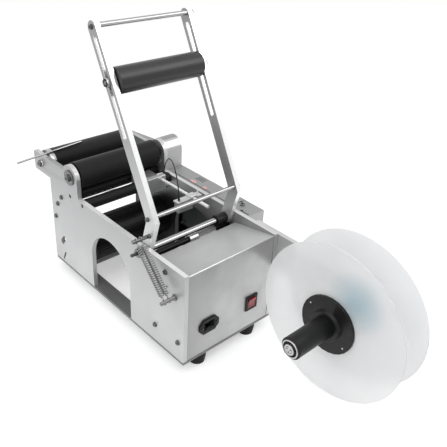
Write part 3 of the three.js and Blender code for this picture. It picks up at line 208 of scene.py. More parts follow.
# what a finish has where it gives nothing else
usualFinish = {"metal": 0.0, "contrast": 0.1, "grainScale": 300, "stretch": (1, 1, 1), "cloud": 0.4,
               "cloudScale": 12, "bump": 0.15, "specular": 0.5, "coat": 0.0, "coatRough": 0.2}
finishes = {
    # the plates: painted light, lighter low down as if mirroring the floor, darker toward the top
    "plate": {"tone": grey(0.64), "metal": 0.45, "rough": (0.34, 0.48), "contrast": 0.12, "grainScale": 900,
              "cloud": 0.75, "cloudScale": 11, "bump": 0.05, "scratch": 0.2,
              "fade": {"from": 60, "to": 230, "share": 1.0, "tone": 0.43}},
    "plateEdge": {"tone": grey(0.6), "metal": 0.6, "rough": (0.26, 0.38), "contrast": 0.08, "grainScale": 500,
                  "stretch": (30, 2, 2), "cloud": 0.5, "bump": 0.05},
    # the plates' inner faces: painted shade, darker than the outer faces and nearly black low down
    "innerPlateShade": {"tone": grey(0.4), "metal": 0.5, "rough": (0.3, 0.42), "contrast": 0.2, "grainScale": 700,
                   "cloud": 0.6, "cloudScale": 16, "bump": 0.05,
                   "fade": {"from": 178, "to": 130, "share": 1.0, "tone": 0.025}},
    # the front cover: painted shade, darker toward its left end
    "cover": {"tone": grey(0.56), "metal": 0.7, "rough": (0.28, 0.4), "contrast": 0.22, "grainScale": 90,
              "stretch": (0.6, 22, 22), "cloud": 0.75, "cloudScale": 17, "bump": 0.08,
              "fade": {"axis": 0, "from": 80, "to": 4, "share": 1.0, "tone": 0.37}},
    # the front cover's upward faces: the cover's finish retoned darker as painted shade, and darker again
    # toward the left end
    "trayShade": {"tone": grey(0.5), "metal": 0.3, "rough": (0.32, 0.44), "contrast": 0.16, "grainScale": 90,
             "stretch": (0.6, 22, 22), "cloud": 0.7, "cloudScale": 17, "bump": 0.08,
             "fade": {"axis": 0, "from": 70, "to": 4, "share": 1.0, "tone": 0.4}},
    # a painted highlight, nearly white, for the belt cover's shoulder and the cover's fold
    "lipHighlight": {"tone": grey(0.92), "metal": 0.6, "rough": (0.2, 0.3), "contrast": 0.05, "grainScale": 400},
    "box": {"tone": grey(0.5), "metal": 0.4, "rough": (0.38, 0.5), "contrast": 0.08, "grainScale": 700,
            "cloud": 0.6, "bump": 0.05, "scratch": 0.15},
    # the box top: the box finish darker, painted shade on faces that look up
    "boxTopShade": {"tone": grey(0.33), "metal": 0.4, "rough": (0.38, 0.5), "contrast": 0.1, "grainScale": 700,
               "cloud": 0.5, "bump": 0.05},
    # the inside of the control box: painted shade, nearly black
    "boxInsideShade": {"tone": grey(0.05), "metal": 0.3, "rough": (0.4, 0.5), "contrast": 0.2, "grainScale": 700},
    # the press arms: one finish in lit and shaded copies, lighter toward the bottom as painted light
    "rightArmShade": {"tone": grey(0.36), "metal": 0.6, "rough": (0.32, 0.44), "contrast": 0.25, "grainScale": 260,
            "stretch": (8, 8, 1), "cloud": 0.5, "bump": 0.06,
            "fade": {"from": 260, "to": 170, "share": 0.9, "tone": 0.7}},
    "leftArmShade": {"tone": grey(0.4), "metal": 0.6, "rough": (0.32, 0.44), "contrast": 0.25, "grainScale": 260,
                "stretch": (8, 8, 1), "cloud": 0.5, "bump": 0.06,
                "fade": {"from": 400, "to": 210, "share": 0.95, "tone": 0.66}},
    # the arms' edges: painted highlight, nearly white
    "armEdgeHighlight": {"tone": grey(0.97), "metal": 0.75, "rough": (0.2, 0.3), "contrast": 0.04, "grainScale": 500,
                "bump": 0.03},
    "baseMetal": {"tone": grey(0.22), "metal": 0.5, "rough": (0.36, 0.48), "contrast": 0.1, "grainScale": 400,
                  "cloud": 0.5, "bump": 0.05},
    "chrome": {"tone": grey(0.4), "metal": 1.0, "rough": (0.06, 0.12), "contrast": 0.05, "grainScale": 200,
               "stretch": (1, 20, 20), "cloud": 0.3, "bump": 0.02},
    "steel": {"tone": grey(0.2), "metal": 1.0, "rough": (0.2, 0.32), "contrast": 0.25, "grainScale": 500,
              "cloud": 0.4, "bump": 0.06},
    "screw": {"tone": grey(0.26), "metal": 1.0, "rough": (0.16, 0.28), "contrast": 0.5, "grainScale": 260,
              "cloud": 0.2, "bump": 0.1},
    "brightScrew": {"tone": grey(0.75), "metal": 0.8, "rough": (0.2, 0.3), "contrast": 0.1,
                    "grainScale": 500},
    "bearing": {"tone": grey(0.56), "metal": 0.9, "rough": (0.2, 0.32), "contrast": 0.25, "grainScale": 700,
                "bump": 0.05},
    "seal": {"tone": grey(0.006), "rough": (0.4, 0.55), "contrast": 0.3, "grainScale": 700, "specular": 0.15},
    "knurled": {"tone": grey(0.3), "metal": 0.85, "rough": (0.28, 0.4), "contrast": 0.2, "grainScale": 700},
    "sleeve": {"tone": grey(0.85), "metal": 0.6, "rough": (0.22, 0.32), "contrast": 0.08, "grainScale": 500,
               "bump": 0.04},
    "darkSteel": {"tone": grey(0.1), "metal": 0.9, "rough": (0.3, 0.45), "contrast": 0.2, "grainScale": 500},
    "rollerRubber": {"tone": grey(0.017), "rough": (0.4, 0.5), "contrast": 0.2, "grainScale": 600,
                     "cloud": 0.5, "cloudScale": 20, "bump": 0.12, "specular": 0.12},
    "pressRubber": {"tone": grey(0.012), "rough": (0.26, 0.36), "contrast": 0.25, "grainScale": 500,
                    "cloud": 0.5, "cloudScale": 14, "bump": 0.12, "specular": 0.5},
    "footRubber": {"tone": grey(0.01), "rough": (0.5, 0.65), "contrast": 0.3, "grainScale": 500,
                   "bump": 0.3, "specular": 0.2},
    "blackMetal": {"tone": grey(0.01), "rough": (0.3, 0.4), "contrast": 0.3, "grainScale": 700,
                   "bump": 0.06, "specular": 0.25},
    "blackPlastic": {"tone": grey(0.006), "rough": (0.2, 0.3), "contrast": 0.3, "grainScale": 900,
                     "bump": 0.1, "specular": 0.2},
    "motorBlack": {"tone": grey(0.012), "metal": 0.2, "rough": (0.3, 0.45), "contrast": 0.4,
                   "grainScale": 260, "bump": 0.25, "specular": 0.25},
    # the power supply: toned near black as painted shade inside the machine
    "supplyShade": {"tone": grey(0.06), "metal": 0.6, "rough": (0.36, 0.48), "contrast": 0.2,
                    "grainScale": 300},
    "red": {"tone": (0.36, 0.012, 0.01, 1), "rough": (0.18, 0.26), "contrast": 0.6, "grainScale": 120,
            "coat": 0.1, "bump": 0.04},
    # the circuit board: toned near black as painted shade inside the machine
    "board": {"tone": (0.02, 0.03, 0.024, 1), "rough": (0.4, 0.5), "contrast": 0.3, "grainScale": 200},
    "lead": {"tone": grey(0.008), "rough": (0.4, 0.5), "contrast": 0.3, "grainScale": 900, "bump": 0.1,
             "specular": 0.2},
    "pink": {"tone": (0.72, 0.42, 0.42, 1), "rough": (0.4, 0.5), "contrast": 0.08, "grainScale": 500},
    "display": {"tone": grey(0.14), "rough": (0.2, 0.3), "contrast": 0.1, "grainScale": 400, "coat": 0.3},
    # dark print, dots and a socket's opening, and painted shade in screw sockets, the plate's hole and the
    # rings round screw heads
    "darkPrintAndShade": {"tone": grey(0.02), "rough": (0.4, 0.5), "contrast": 0.1, "grainScale": 400, "specular": 0.2},
    "springWire": {"tone": grey(0.3), "metal": 1.0, "rough": (0.18, 0.3), "contrast": 0.2,
                   "grainScale": 800},
}
materials = {name: surface(name, recipe) for name, recipe in finishes.items()}

# translucent plastic of the spool's discs, white and soft, with a faint blue patch beside the hub
disc = {"tone": grey(0.93), "shade": (0.875, 0.875, 0.878, 1), "cloudScale": 7, "rough": (0.42, 0.55),
        "grainScale": 700, "grainDetail": 3.0, "bump": 0.05, "through": 0.5, "refraction": 1.12,
        "patch": at(140, -237, 213), "patchSpan": (0.008, 0.055), "patchShare": 0.6,
        "patchTone": (0.5, 0.7, 0.78, 1)}
materials["disc"], graph, shader = newPaint("disc")
colour = graph.mixColour(graph.noise(disc["cloudScale"]).spread(*grainSpan), disc["shade"], disc["tone"])
place = graph.node("ShaderNodeTexCoord", {}, out="Object")
reach = graph.node("ShaderNodeVectorMath", {"operation": "DISTANCE"}, place, disc["patch"], out="Value")
blue = reach.spread(*disc["patchSpan"], disc["patchShare"], 0)
graph.join(graph.mixColour(blue, colour, disc["patchTone"]), shader["Base Color"])
grain = graph.noise(disc["grainScale"], detail=disc["grainDetail"])
graph.join(grain.spread(*grainSpan, *disc["rough"]), shader["Roughness"])
graph.join(graph.bump(disc["bump"], grain), shader["Normal"])
shader["Transmission Weight"].default_value = disc["through"]
shader["IOR"].default_value = disc["refraction"]
print("materials made")

bodyOf = {node: body for body, nodes in frame["record"]["behaviour"]["bodies"].items() for node in nodes}
weldDistance = 2e-6
usualEdge = 0.5
flatAngle = math.radians(1.5)  # faces that turn less than this are joined
cornerAngle = math.radians(40)  # edges that turn more than this are broken
creaseAngle = math.radians(31)  # edges that turn more than this aren't shaded round


def finished(mesh, name, body, nodes=(), blend=None):
    # the piece of a mesh, which rides on a body, or stays in place on none when blend is given
    piece = bpy.data.objects.new(name, mesh)
    bpy.context.scene.collection.objects.link(piece)
    if blend:
        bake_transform(piece)
    else:
        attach(piece, body)
    if nodes:
        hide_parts(*nodes)


def softened(node, finish, width=usualEdge, others=(), cuts=()):
    # a copy of a CAD node with its flat faces joined, its edges broken and its curves shaded round;
    # others holds further finishes, each with a test on the face's middle (millimetres) and direction,
    # and cuts holds places along x where its faces are cut first
    mesh = frame["nodes"][node].data.copy()
    mesh.name = node + "_soft"
    bm = bmesh.new()
    bm.from_mesh(mesh)
    bmesh.ops.remove_doubles(bm, verts=bm.verts, dist=weldDistance)
    bmesh.ops.dissolve_limit(bm, angle_limit=flatAngle, verts=bm.verts, edges=bm.edges)
    for x in cuts:
        everything = [*bm.verts, *bm.edges, *bm.faces]
        bmesh.ops.bisect_plane(bm, geom=everything, plane_co=at(x, 0, 0), plane_no=(1, 0, 0))
    corners = [edge for edge in bm.edges
               if len(edge.link_faces) == 2 and edge.calc_face_angle(0) > cornerAngle]
    bmesh.ops.bevel(bm, geom=corners, offset=width / perMetre, segments=1, profile=0.5, affect="EDGES",
                    clamp_overlap=True)
    for face in bm.faces:
        face.smooth = True
        face.material_index = 0
        spot = face.calc_center_median() * perMetre - originShift
        for index, (_, test) in enumerate(others):
            if test(spot, face.normal):
                face.material_index = index + 1
    mesh.materials.clear()
    for name in (finish, *(name for name, _ in others)):
        mesh.materials.append(materials[name])
    bm.to_mesh(mesh)
    bm.free()
    mesh.set_sharp_from_angle(angle=creaseAngle)
    finished(mesh, node + "_piece", bodyOf[node], (node,))


# CAD nodes with one finish all over
plain = {
    "plateEdge": ["sensor_bracket", "sensor_head"],
    "baseMetal": ["base_plate"],
    # the control panel takes the box top's painted shade
    "boxTopShade": ["control_panel"],
    "chrome": ["handle_rod", "cross_rod", "tie_rod", "liner_pin"],
    "steel": ["pivot_nut_left", "pivot_nut_right", "upper_spring_post", "lower_spring_post", "press_axle",
              "axle_nut_right", "drive_shaft", "drive_pulley", "take_up_pulley", "motor_pulley",
              "drive_bearing_left", "drive_bearing_right"],
    "bearing": ["spool_axle"],
    "rollerRubber": ["drive_roller", "guide_roller", "nip_roller", "drive_belt"],
    "pressRubber": ["press_roller"],
    "footRubber": ["foot_front_left", "foot_front_right", "foot_rear_left", "foot_rear_right"],
    "blackMetal": ["core_tube", "front_flange", "rear_flange", "web_guide_rod", "shaft_collar"],
    "blackPlastic": ["power_inlet", "switch_bezel"],
    "motorBlack": ["drive_motor"],
    # the power supply's dark tone is painted shade
    "supplyShade": ["power_supply"],
    "red": ["rocker_switch"],
    "sleeve": ["label_guide", "sensor_rail"],
    # the circuit board's dark tone is painted shade
    "board": ["circuit_board"],
    "disc": ["front_disc", "rear_disc"],
}
edgeWidth = {"control_panel": 0.2, "power_inlet": 0.3, "switch_bezel": 0.3,
             "rocker_switch": 0.4, "front_disc": 0.6, "rear_disc": 0.6, "liner_pin": 0.3,
             "circuit_board": 0.2, "drive_belt": 0.2, "sensor_rail": 0.4}
for finish, nodes in plain.items():
    for node in nodes:
        softened(node, finish, edgeWidth.get(node, usualEdge))

# Nodes with more than one finish. A face's direction has 1 along an axis that it stands square to, and
# 0.71 where it is a broken edge.
square = 0.8
plates = {"edge": 0.7, "armEdgeHighlight": 0.9}
frontCover = {"edge": 0.4, "trayUp": 0.6}
controlBox = {"lid": 189, "hollow": ((225, 264.5), (78, 331.5), (21, 188.5))}
beltCover = {"lipUp": (0.3, 0.8), "lipEnd": 340, "topUp": 0.93}
shaftEnd = -0.4
nutFace = -0.7
takeUpCaps = (23.7, 212)


def aside(spot, normal):
    # faces that look neither left nor right
    return abs(normal.x) < square


# faces inside the control box's hollow, which take painted shade
def inHollow(spot, normal):
    return all(low < place < high for place, (low, high) in zip(spot, controlBox["hollow"]))


def onLipHighlight(spot, normal):
    # the rounded part of the belt cover and the front of its left side, which take a painted highlight
    low, high = beltCover["lipUp"]
    return low < normal.z < high or normal.x < -square and spot.y < beltCover["lipEnd"]


# the plates' inner faces take painted shade
softened("left_side_plate", "plate", plates["edge"],
         [("plateEdge", aside), ("innerPlateShade", lambda spot, normal: normal.x > square)])
softened("right_side_plate", "plate", plates["edge"],
         [("plateEdge", aside), ("innerPlateShade", lambda spot, normal: normal.x < -square)])
softened("spool_arm", "plate", others=[("plateEdge", aside)])
# the front cover: painted shade toward its left end, and its upward faces retoned as painted shade
softened("front_cover", "cover", frontCover["edge"],
         [("trayShade", lambda spot, normal: normal.z > frontCover["trayUp"])])
# the press arms: lit and shaded copies of one finish, with painted highlights on their edges
softened("press_arm_left", "leftArmShade", plates["armEdgeHighlight"], [("armEdgeHighlight", aside)])
softened("press_arm_right", "rightArmShade", plates["armEdgeHighlight"], [("armEdgeHighlight", aside)])
# the control box: painted shade on its top and in its hollow
softened("control_box", "box", others=[
    ("boxTopShade", lambda spot, normal: spot.z > controlBox["lid"]), ("boxInsideShade", inHollow)])
# the belt cover: painted highlight on its shoulder and the front of its left side, painted shade on its top
softened("belt_cover", "box", others=[
    ("lipHighlight", onLipHighlight), ("boxTopShade", lambda spot, normal: normal.z > beltCover["topUp"])])
softened("pivot_shaft", "chrome", others=[("darkSteel", lambda spot, normal: spot.x < 0)], cuts=(shaftEnd,))
softened("axle_nut_left", "bearing", others=[("seal", lambda spot, normal: normal.x < nutFace)])
softened("take_up_roller", "rollerRubber", others=[
    ("bearing", lambda spot, normal: spot.x < takeUpCaps[0] or spot.x > takeUpCaps[1])])
print("CAD nodes softened")


def circle(count):
    # across and upward shares of places round a circle
    angles = (2 * math.pi * k / count for k in range(count))
    return [(math.cos(angle), math.sin(angle)) for angle in angles]


def band(bm, first, second, slot=0, smooth=True):
    # the faces between two rings of corners
    for k in range(len(first)):
        after = (k + 1) % len(first)
        face = bm.faces.new((first[k], first[after], second[after], second[k]))
        face.smooth = smooth
        face.material_index = slot


def closeEnds(bm, rings, lastSlot=0):
    # one face over the first ring and one over the last
    bm.faces.new(list(reversed(rings[0])))
    bm.faces.new(rings[-1]).material_index = lastSlot


def skin(bm, points, radius, sides):
    # a closed tube along points, its cross-section carried along without twist
    points = [Vector(p) for p in points]
    side = (points[1] - points[0]).normalized().orthogonal().normalized()
    rings = []
    for index, point in enumerate(points):
        ahead = points[min(index + 1, len(points) - 1)] - points[max(index - 1, 0)]
        ahead.normalize()
        side = (side - ahead * side.dot(ahead)).normalized()
        other = ahead.cross(side)
        rings.append([bm.verts.new((point + radius * (across * side + upward * other)) / perMetre)
                      for across, upward in circle(sides)])
    for first, second in zip(rings, rings[1:]):
        band(bm, first, second)
    closeEnds(bm, rings)


def meshFrom(bm, name, *finishNames):
    mesh = bpy.data.meshes.new(name)
    bm.to_mesh(mesh)
    bm.free()
    for finish in finishNames:
        mesh.materials.append(materials[finish])
    return mesh


# Each spring is a coil between two hooks, which go most of the way round their posts. The coil's radius
# grows from 0 within easeSteps at either end.
springs = {"turns": 24, "steps": 20, "coil": 4.1, "wire": 1.05, "sides": 7, "hook": 4.4, "hookTurn": 285,
           "hookSteps": 16, "straight": 5.0, "easeSteps": 9, "upper": (112.5, 211.0), "lower": (25.0, 135.0),
           "rows": {"spring_inner": (-7.0, -13.0), "spring_outer": (-17.0, -23.0)}}


def hookPoints(centre, toward, across):
    # a hook, ending where it faces the other post
    points = []
    for k in range(springs["hookSteps"] + 1):
        angle = math.radians(springs["hookTurn"] * (1 - k / springs["hookSteps"]))
        points.append(centre + springs["hook"] * (math.cos(angle) * toward + math.sin(angle) * across))
    return points


for node, (upperX, lowerX) in springs["rows"].items():
    top = Vector((upperX, *springs["upper"])) + originShift
    low = Vector((lowerX, *springs["lower"])) + originShift
    along = (low - top).normalized()
    sideways = Vector((1, 0, 0)).cross(along).normalized()
    normal = along.cross(sideways).normalized()
    first = springs["hook"] + springs["straight"]
    coilLength = (low - top).length - 2 * first
    points = hookPoints(top, along, sideways)
    count = springs["turns"] * springs["steps"]
    for k in range(count + 1):
        grow = min(1, k / springs["easeSteps"], (count - k) / springs["easeSteps"])
        angle = 2 * math.pi * k / springs["steps"]
        points.append(top + along * (first + coilLength * k / count)
                      + springs["coil"] * grow * (math.cos(angle) * sideways + math.sin(angle) * normal))
    points += reversed(hookPoints(low, -along, sideways))
    bm = bmesh.new()
    skin(bm, points, springs["wire"], springs["sides"])
    finished(meshFrom(bm, node + "_wire", "springWire"), node + "_wire", "frame", (node,),
             ("frame", "press_lever", low / perMetre, top / perMetre))

# sensor lead, with a strain relief where it leaves the sensor; it stays in place on no body
sensorLead = {"radius": 1.1, "sides": 12, "parts": 8, "points": [
    (142, 192, 202.3), (142, 192, 208), (146, 200.3, 232), (160, 226.5, 249), (180, 261, 249),
    (200, 298.3, 236), (211, 323.1, 212), (212.5, 330, 190), (212.5, 330, 176), (209, 330, 163),
    (205.5, 326, 157), (209, 322, 156), (212, 322, 156), (218, 322, 156), (231, 322, 156)],
    "reliefLength": 5, "reliefRadius": 2.2, "reliefSides": 16,
    "heldAt": (212, 330, 190), "sensorAt": (142, 192, 204)}


def smoothRoute(points, parts):
    # a Catmull-Rom curve through all points, each stretch of it in some parts
    points = [Vector(p) + originShift for p in points]
    padded = [points[0] * 2 - points[1]] + points + [points[-1] * 2 - points[-2]]
    route = []
    for p0, p1, p2, p3 in zip(padded, padded[1:], padded[2:], padded[3:]):
        for k in range(parts):
            t = k / parts
            route.append(0.5 * ((2 * p1) + (p2 - p0) * t + (2 * p0 - 5 * p1 + 4 * p2 - p3) * t * t
                                + (3 * p1 - p0 - 3 * p2 + p3) * t ** 3))
    return route + [points[-1]]


bm = bmesh.new()
route = smoothRoute(sensorLead["points"], sensorLead["parts"])
skin(bm, route, sensorLead["radius"], sensorLead["sides"])
reliefEnd = route[0] + Vector((0, 0, sensorLead["reliefLength"]))
skin(bm, [route[0], reliefEnd], sensorLead["reliefRadius"], sensorLead["reliefSides"])
finished(meshFrom(bm, "sensor_lead_wire", "lead"), "sensor_lead_wire", "frame", ("sensor_lead",),
         ("frame", "sensor", at(*sensorLead["heldAt"]), at(*sensorLead["sensorAt"])))
print("springs and lead made")

# a screw head: radii, depth and lifts of its parts as shares of the head's own radius and height; its shadow
# ring is a painted shadow round the head's foot
headShape = {"lift": 0.5, "domeRadius": 0.84, "domeLift": 0.65, "recessSides": 6, "recessLift": 0.68,
             "shadowRingRadius": 1.16, "shadowRingDepth": 0.12, "shadowRingLift": 0.05}


def fastenerGroup():
    # a screw head with a hexagon socket of painted shade and a ring of painted shadow round its foot on every
    # point, turned to one direction
    group = bpy.data.node_groups.new("fastenerField", "GeometryNodeTree")
    sockets = {"Geometry": "NodeSocketGeometry", "Head radius": "NodeSocketFloat",
               "Head height": "NodeSocketFloat", "Socket radius": "NodeSocketFloat",
               "Sides": "NodeSocketInt", "Turn": "NodeSocketVector",
               "Head": "NodeSocketMaterial", "Recess shade": "NodeSocketMaterial"}
    for name, kind in sockets.items():
        group.interface.new_socket(name, in_out="INPUT", socket_type=kind)
    group.interface.new_socket("Geometry", in_out="OUTPUT", socket_type="NodeSocketGeometry")
    graph = Graph(group)
    source = group.nodes.new("NodeGroupInput")
    given = {name: Wire(graph, source.outputs[name]) for name in sockets}

    def slab(sides, radius, depth, lift, paint):
        body = graph.node("GeometryNodeMeshCylinder", {}, out="Mesh",
                          inputs={"Vertices": sides, "Radius": radius, "Depth": depth})
        offset = graph.node("ShaderNodeCombineXYZ", {}, inputs={"Z": lift})
        raised = graph.node("GeometryNodeTransform", {}, inputs={"Geometry": body, "Translation": offset})
        return graph.node("GeometryNodeSetMaterial", {}, inputs={"Geometry": raised, "Material": paint})

    sides, radius, height = given["Sides"], given["Head radius"], given["Head height"]
    head = slab(sides, radius, height, height * headShape["lift"], given["Head"])
    dome = slab(sides, radius * headShape["domeRadius"], height, height * headShape["domeLift"],
                given["Head"])
    # the socket: a dark hexagon over the dome, painted shade
    recess = slab(headShape["recessSides"], given["Socket radius"], height, height * headShape["recessLift"],
                  given["Recess shade"])
    # a thin dark ring round the head's foot: painted shadow
    shadowRing = slab(sides, radius * headShape["shadowRingRadius"], height * headShape["shadowRingDepth"],
               height * headShape["shadowRingLift"], given["Recess shade"])
    joined = graph.node("GeometryNodeJoinGeometry", {})
    for part in (shadowRing, head, dome, recess):
        graph.join(part, joined.socket.node.inputs[0])
    heads = graph.node("GeometryNodeInstanceOnPoints", {}, inputs={
        "Points": given["Geometry"], "Instance": joined, "Rotation": given["Turn"]})
    real = graph.node("GeometryNodeRealizeInstances", {}, heads)
    graph.join(real, group.nodes.new("NodeGroupOutput").inputs[0])
    return group


fasteners = fastenerGroup()
socketName = {item.name: item.identifier for item in fasteners.interface.items_tree
              if item.in_out == "INPUT"}
facing = {"left": (0, -math.pi / 2, 0), "right": (0, math.pi / 2, 0), "front": (math.pi / 2, 0, 0)}
usualSides = 20


def screwField(name, field):
    points = bpy.data.meshes.new(name + "_points")
    points.from_pydata([at(*spot) for spot in field["spots"]], [], [])
    holder = bpy.data.objects.new(name + "_points", points)
    bpy.context.scene.collection.objects.link(holder)
    modifier = holder.modifiers.new("fasteners", "NODES")
    modifier.node_group = fasteners
    values = {"Head radius": field["radius"] / perMetre, "Head height": field["height"] / perMetre,
              "Socket radius": field["socket"] / perMetre, "Sides": field.get("sides", usualSides),
              "Turn": facing[field["facing"]], "Head": materials[field.get("finish", "screw")],
              "Recess shade": materials["darkPrintAndShade"]}
    for key, value in values.items():
        modifier[socketName[key]] = value
    depsgraph = bpy.context.evaluated_depsgraph_get()
    mesh = bpy.data.meshes.new_from_object(holder.evaluated_get(depsgraph))
    bpy.data.objects.remove(holder)
    mesh.set_sharp_from_angle(angle=creaseAngle)
    finished(mesh, name, field["body"])


spoolAxis = (-195.0, 147.0)


def roundSpool(x, radius, angles):
    return [(x, spoolAxis[0] + radius * math.cos(angle), spoolAxis[1] + radius * math.sin(angle))
            for angle in angles]


plateScrews = [(399, 166), (417, 143.5), (430, 108), (51.5, 173), (82, 37), (15.5, 39)]
flangeAngles = [math.radians(33), math.radians(213)]
dotAngles = (0.5, 2.6, 4.7)
capScrew = {"radius": 4.4, "height": 3.2, "socket": 2.0, "sides": 24}
smallScrew = {"radius": 2.2, "height": 1.2, "socket": 1.0}
# the body that each field rides on, where its heads look, their places and their sizes
screwFields = {
    "left_plate_screws": {**capScrew, "body": "frame", "facing": "left",
                          "spots": [(0, y, height) for y, height in plateScrews]},
    "right_plate_screws": {**capScrew, "body": "frame", "facing": "right",
                           "spots": [(224, 15.5, 39), (224, 51.5, 173)]},
    "belt_cover_screws": {**smallScrew, "height": 0.8, "body": "frame", "facing": "right",
                          "spots": [(265, 345, 68), (239.6, 430, 68), (265, 365, 223)]},
    # the plate's hole: a dark disc of painted shade
    "plate_hole": {"radius": 1.8, "height": 0.2, "socket": 1.5, "finish": "darkPrintAndShade",
                   "body": "frame", "facing": "left", "spots": [(0, 48, 144.5)]},
    "inlet_screws": {**smallScrew, "finish": "darkSteel", "body": "frame", "facing": "front",
                     "spots": [(40.5, -2.8, 60), (76.5, -2.8, 60)]},
    "arm_bolts_left": {"radius": 3.8, "height": 3.4, "socket": 1.9, "body": "press_lever", "facing": "left",
                       "spots": [(10, 114, 243.5), (10, 110, 212), (10, 260, 537)]},
    "arm_bolts_right": {"radius": 4.2, "height": 3.4, "socket": 2.2, "body": "press_lever",
                        "facing": "right", "spots": [(214, 104.5, 249), (214, 255, 540)]},
    "shaft_washer_left": {"radius": 12.0, "height": 1.6, "socket": 5.0, "sides": 32,
                          "body": "drive_wheel", "facing": "left", "spots": [(-0.4, 358, 228)]},
    "shaft_nuts_left": {"radius": 8.4, "height": 5.6, "socket": 3.2, "sides": 6,
                        "body": "drive_wheel", "facing": "left", "spots": [(-1.6, 358, 228)]},
    "take_up_nut": {"radius": 7.0, "height": 4.0, "socket": 3.0, "sides": 6,
                    "body": "take_up_wheel", "facing": "left", "spots": [(-3, 472, 216)]},
    "flange_screws": {"radius": 1.4, "height": 0.7, "socket": 0.5, "finish": "brightScrew",
                      "body": "spool_front", "facing": "left", "spots": roundSpool(134.7, 44, flangeAngles)},
    "axle_dots": {"radius": 1.0, "height": 0.2, "socket": 0.9, "sides": 12, "finish": "darkPrintAndShade",
                  "body": "frame", "facing": "left", "spots": roundSpool(43.4, 3.6, dotAngles)},
}
for name, field in screwFields.items():
    screwField(name, field)
print("fasteners placed")

brokenEdge = 0.2


def boxPiece(name, body, finish, boxes):
    # several small boxes as one piece, each given by its two corners
    bm = bmesh.new()
    for low, high in boxes:
        low, high = at(*low), at(*high)
        made = bmesh.ops.create_cube(bm, size=1)["verts"]
        for vert in made:
            vert.co = Vector([low[i] + (vert.co[i] + 0.5) * (high[i] - low[i]) for i in range(3)])
    bmesh.ops.bevel(bm, geom=list(bm.edges), offset=brokenEdge / perMetre, segments=1, affect="EDGES",
                    clamp_overlap=True)
    finished(meshFrom(bm, name, finish), name, body)


deck = 190
panelTop = deck + 1.5
panelPieces = {
    "panel_keys": ("pink", [((228, 246, panelTop), (236, 262, panelTop + 0.5)),
                            ((228, 212, panelTop), (236, 222, panelTop + 0.5))]),
    "panel_display": ("display", [((244, 238, panelTop), (258, 262, panelTop + 0.4))]),
    "panel_marks": ("darkPrintAndShade", [((252, 126, deck), (254, 132, deck + 1.4)),
                             ((228, 100, deck), (230.5, 105, deck + 1)),
                             ((227, 82, deck), (228.4, 106, deck + 0.6))]),
}
for name, (finish, boxes) in panelPieces.items():
    boxPiece(name, "frame", finish, boxes)

# knurled part of the label guide's sleeve
knurl = {"start": 134.0, "end": 177.5, "radius": 8.9, "inner": 8.2, "teeth": 40, "y": 127.0, "height": 156.0}
bm = bmesh.new()
rings = []
for x in (knurl["start"], knurl["end"]):
    ring = []
    for k, (across, upward) in enumerate(circle(knurl["teeth"] * 2)):
        radius = knurl["radius"] if k % 2 else knurl["inner"]
        ring.append(bm.verts.new(at(x, knurl["y"] + radius * across, knurl["height"] + radius * upward)))
    rings.append(ring)
band(bm, *rings, smooth=False)
closeEnds(bm, rings)
bmesh.ops.recalc_face_normals(bm, faces=bm.faces)
finished(meshFrom(bm, "guide_knurl", "knurled"), "guide_knurl", "guide_collar")

# sealed bearing in the end of the label core: outer race, dark seal in a recess, inner race standing out;
# each step of the profile gives x, radius and the finish of the band that follows
endBearing = {"sides": 64, "finishes": ("bearing", "seal"), "profile": (
    (48.5, 15.9, 0), (46.4, 15.9, 0), (46.0, 15.5, 0), (46.0, 13.9, 0), (46.3, 13.6, 1), (47.8, 13.5, 1),
    (47.8, 9.7, 1), (47.6, 9.5, 0), (44.3, 9.5, 0), (43.9, 9.1, 0), (43.9, 6.4, 1), (45.2, 6.3, 0),
    (45.2, 6.15, 0), (48.5, 6.15, 0))}
bm = bmesh.new()
rings = [[bm.verts.new(at(x, spoolAxis[0] + radius * across, spoolAxis[1] + radius * upward))
          for across, upward in circle(endBearing["sides"])] for x, radius, _ in endBearing["profile"]]
for first, second, (_, _, slot) in zip(rings, rings[1:] + rings[:1], endBearing["profile"]):
    band(bm, first, second, slot)
bmesh.ops.recalc_face_normals(bm, faces=bm.faces)
mesh = meshFrom(bm, "end_bearing_races", *endBearing["finishes"])
mesh.set_sharp_from_angle(angle=creaseAngle)
finished(mesh, "end_bearing_races", bodyOf["end_bearing"], ("end_bearing",))

# painted highlight: a bright strip along the fold at the top of the front cover
coverFoldHighlight = {"ends": ((9.4, 0.9, 187.3), (214.6, 0.9, 187.3)), "radius": 0.95, "sides": 12}
bm = bmesh.new()
skin(bm, [Vector(spot) + originShift for spot in coverFoldHighlight["ends"]], coverFoldHighlight["radius"], coverFoldHighlight["sides"])
finished(meshFrom(bm, "cover_fold_highlight", "lipHighlight"), "cover_fold_highlight", "frame")

# small round socket and its nut on the box top, beside the right plate; each step of the profile gives
# radius and height over the deck, and the bands from darkFrom on are its opening
boxSocket = {"x": 246.0, "y": 118.0, "sides": 24, "darkFrom": 3,
             "profile": ((5.2, 0.0), (5.2, 2.2), (4.4, 3.0), (3.0, 3.0), (2.8, 0.4), (0.4, 0.4))}
bm = bmesh.new()
rings = [[bm.verts.new(at(boxSocket["x"] + radius * across, boxSocket["y"] + radius * upward, deck + height))
          for across, upward in circle(boxSocket["sides"])] for radius, height in boxSocket["profile"]]
for index, (first, second) in enumerate(zip(rings, rings[1:])):
    band(bm, first, second, int(index >= boxSocket["darkFrom"]), smooth=False)
closeEnds(bm, rings, lastSlot=1)
bmesh.ops.recalc_face_normals(bm, faces=bm.faces)
finished(meshFrom(bm, "box_socket", "screw", "darkPrintAndShade"), "box_socket", "frame")

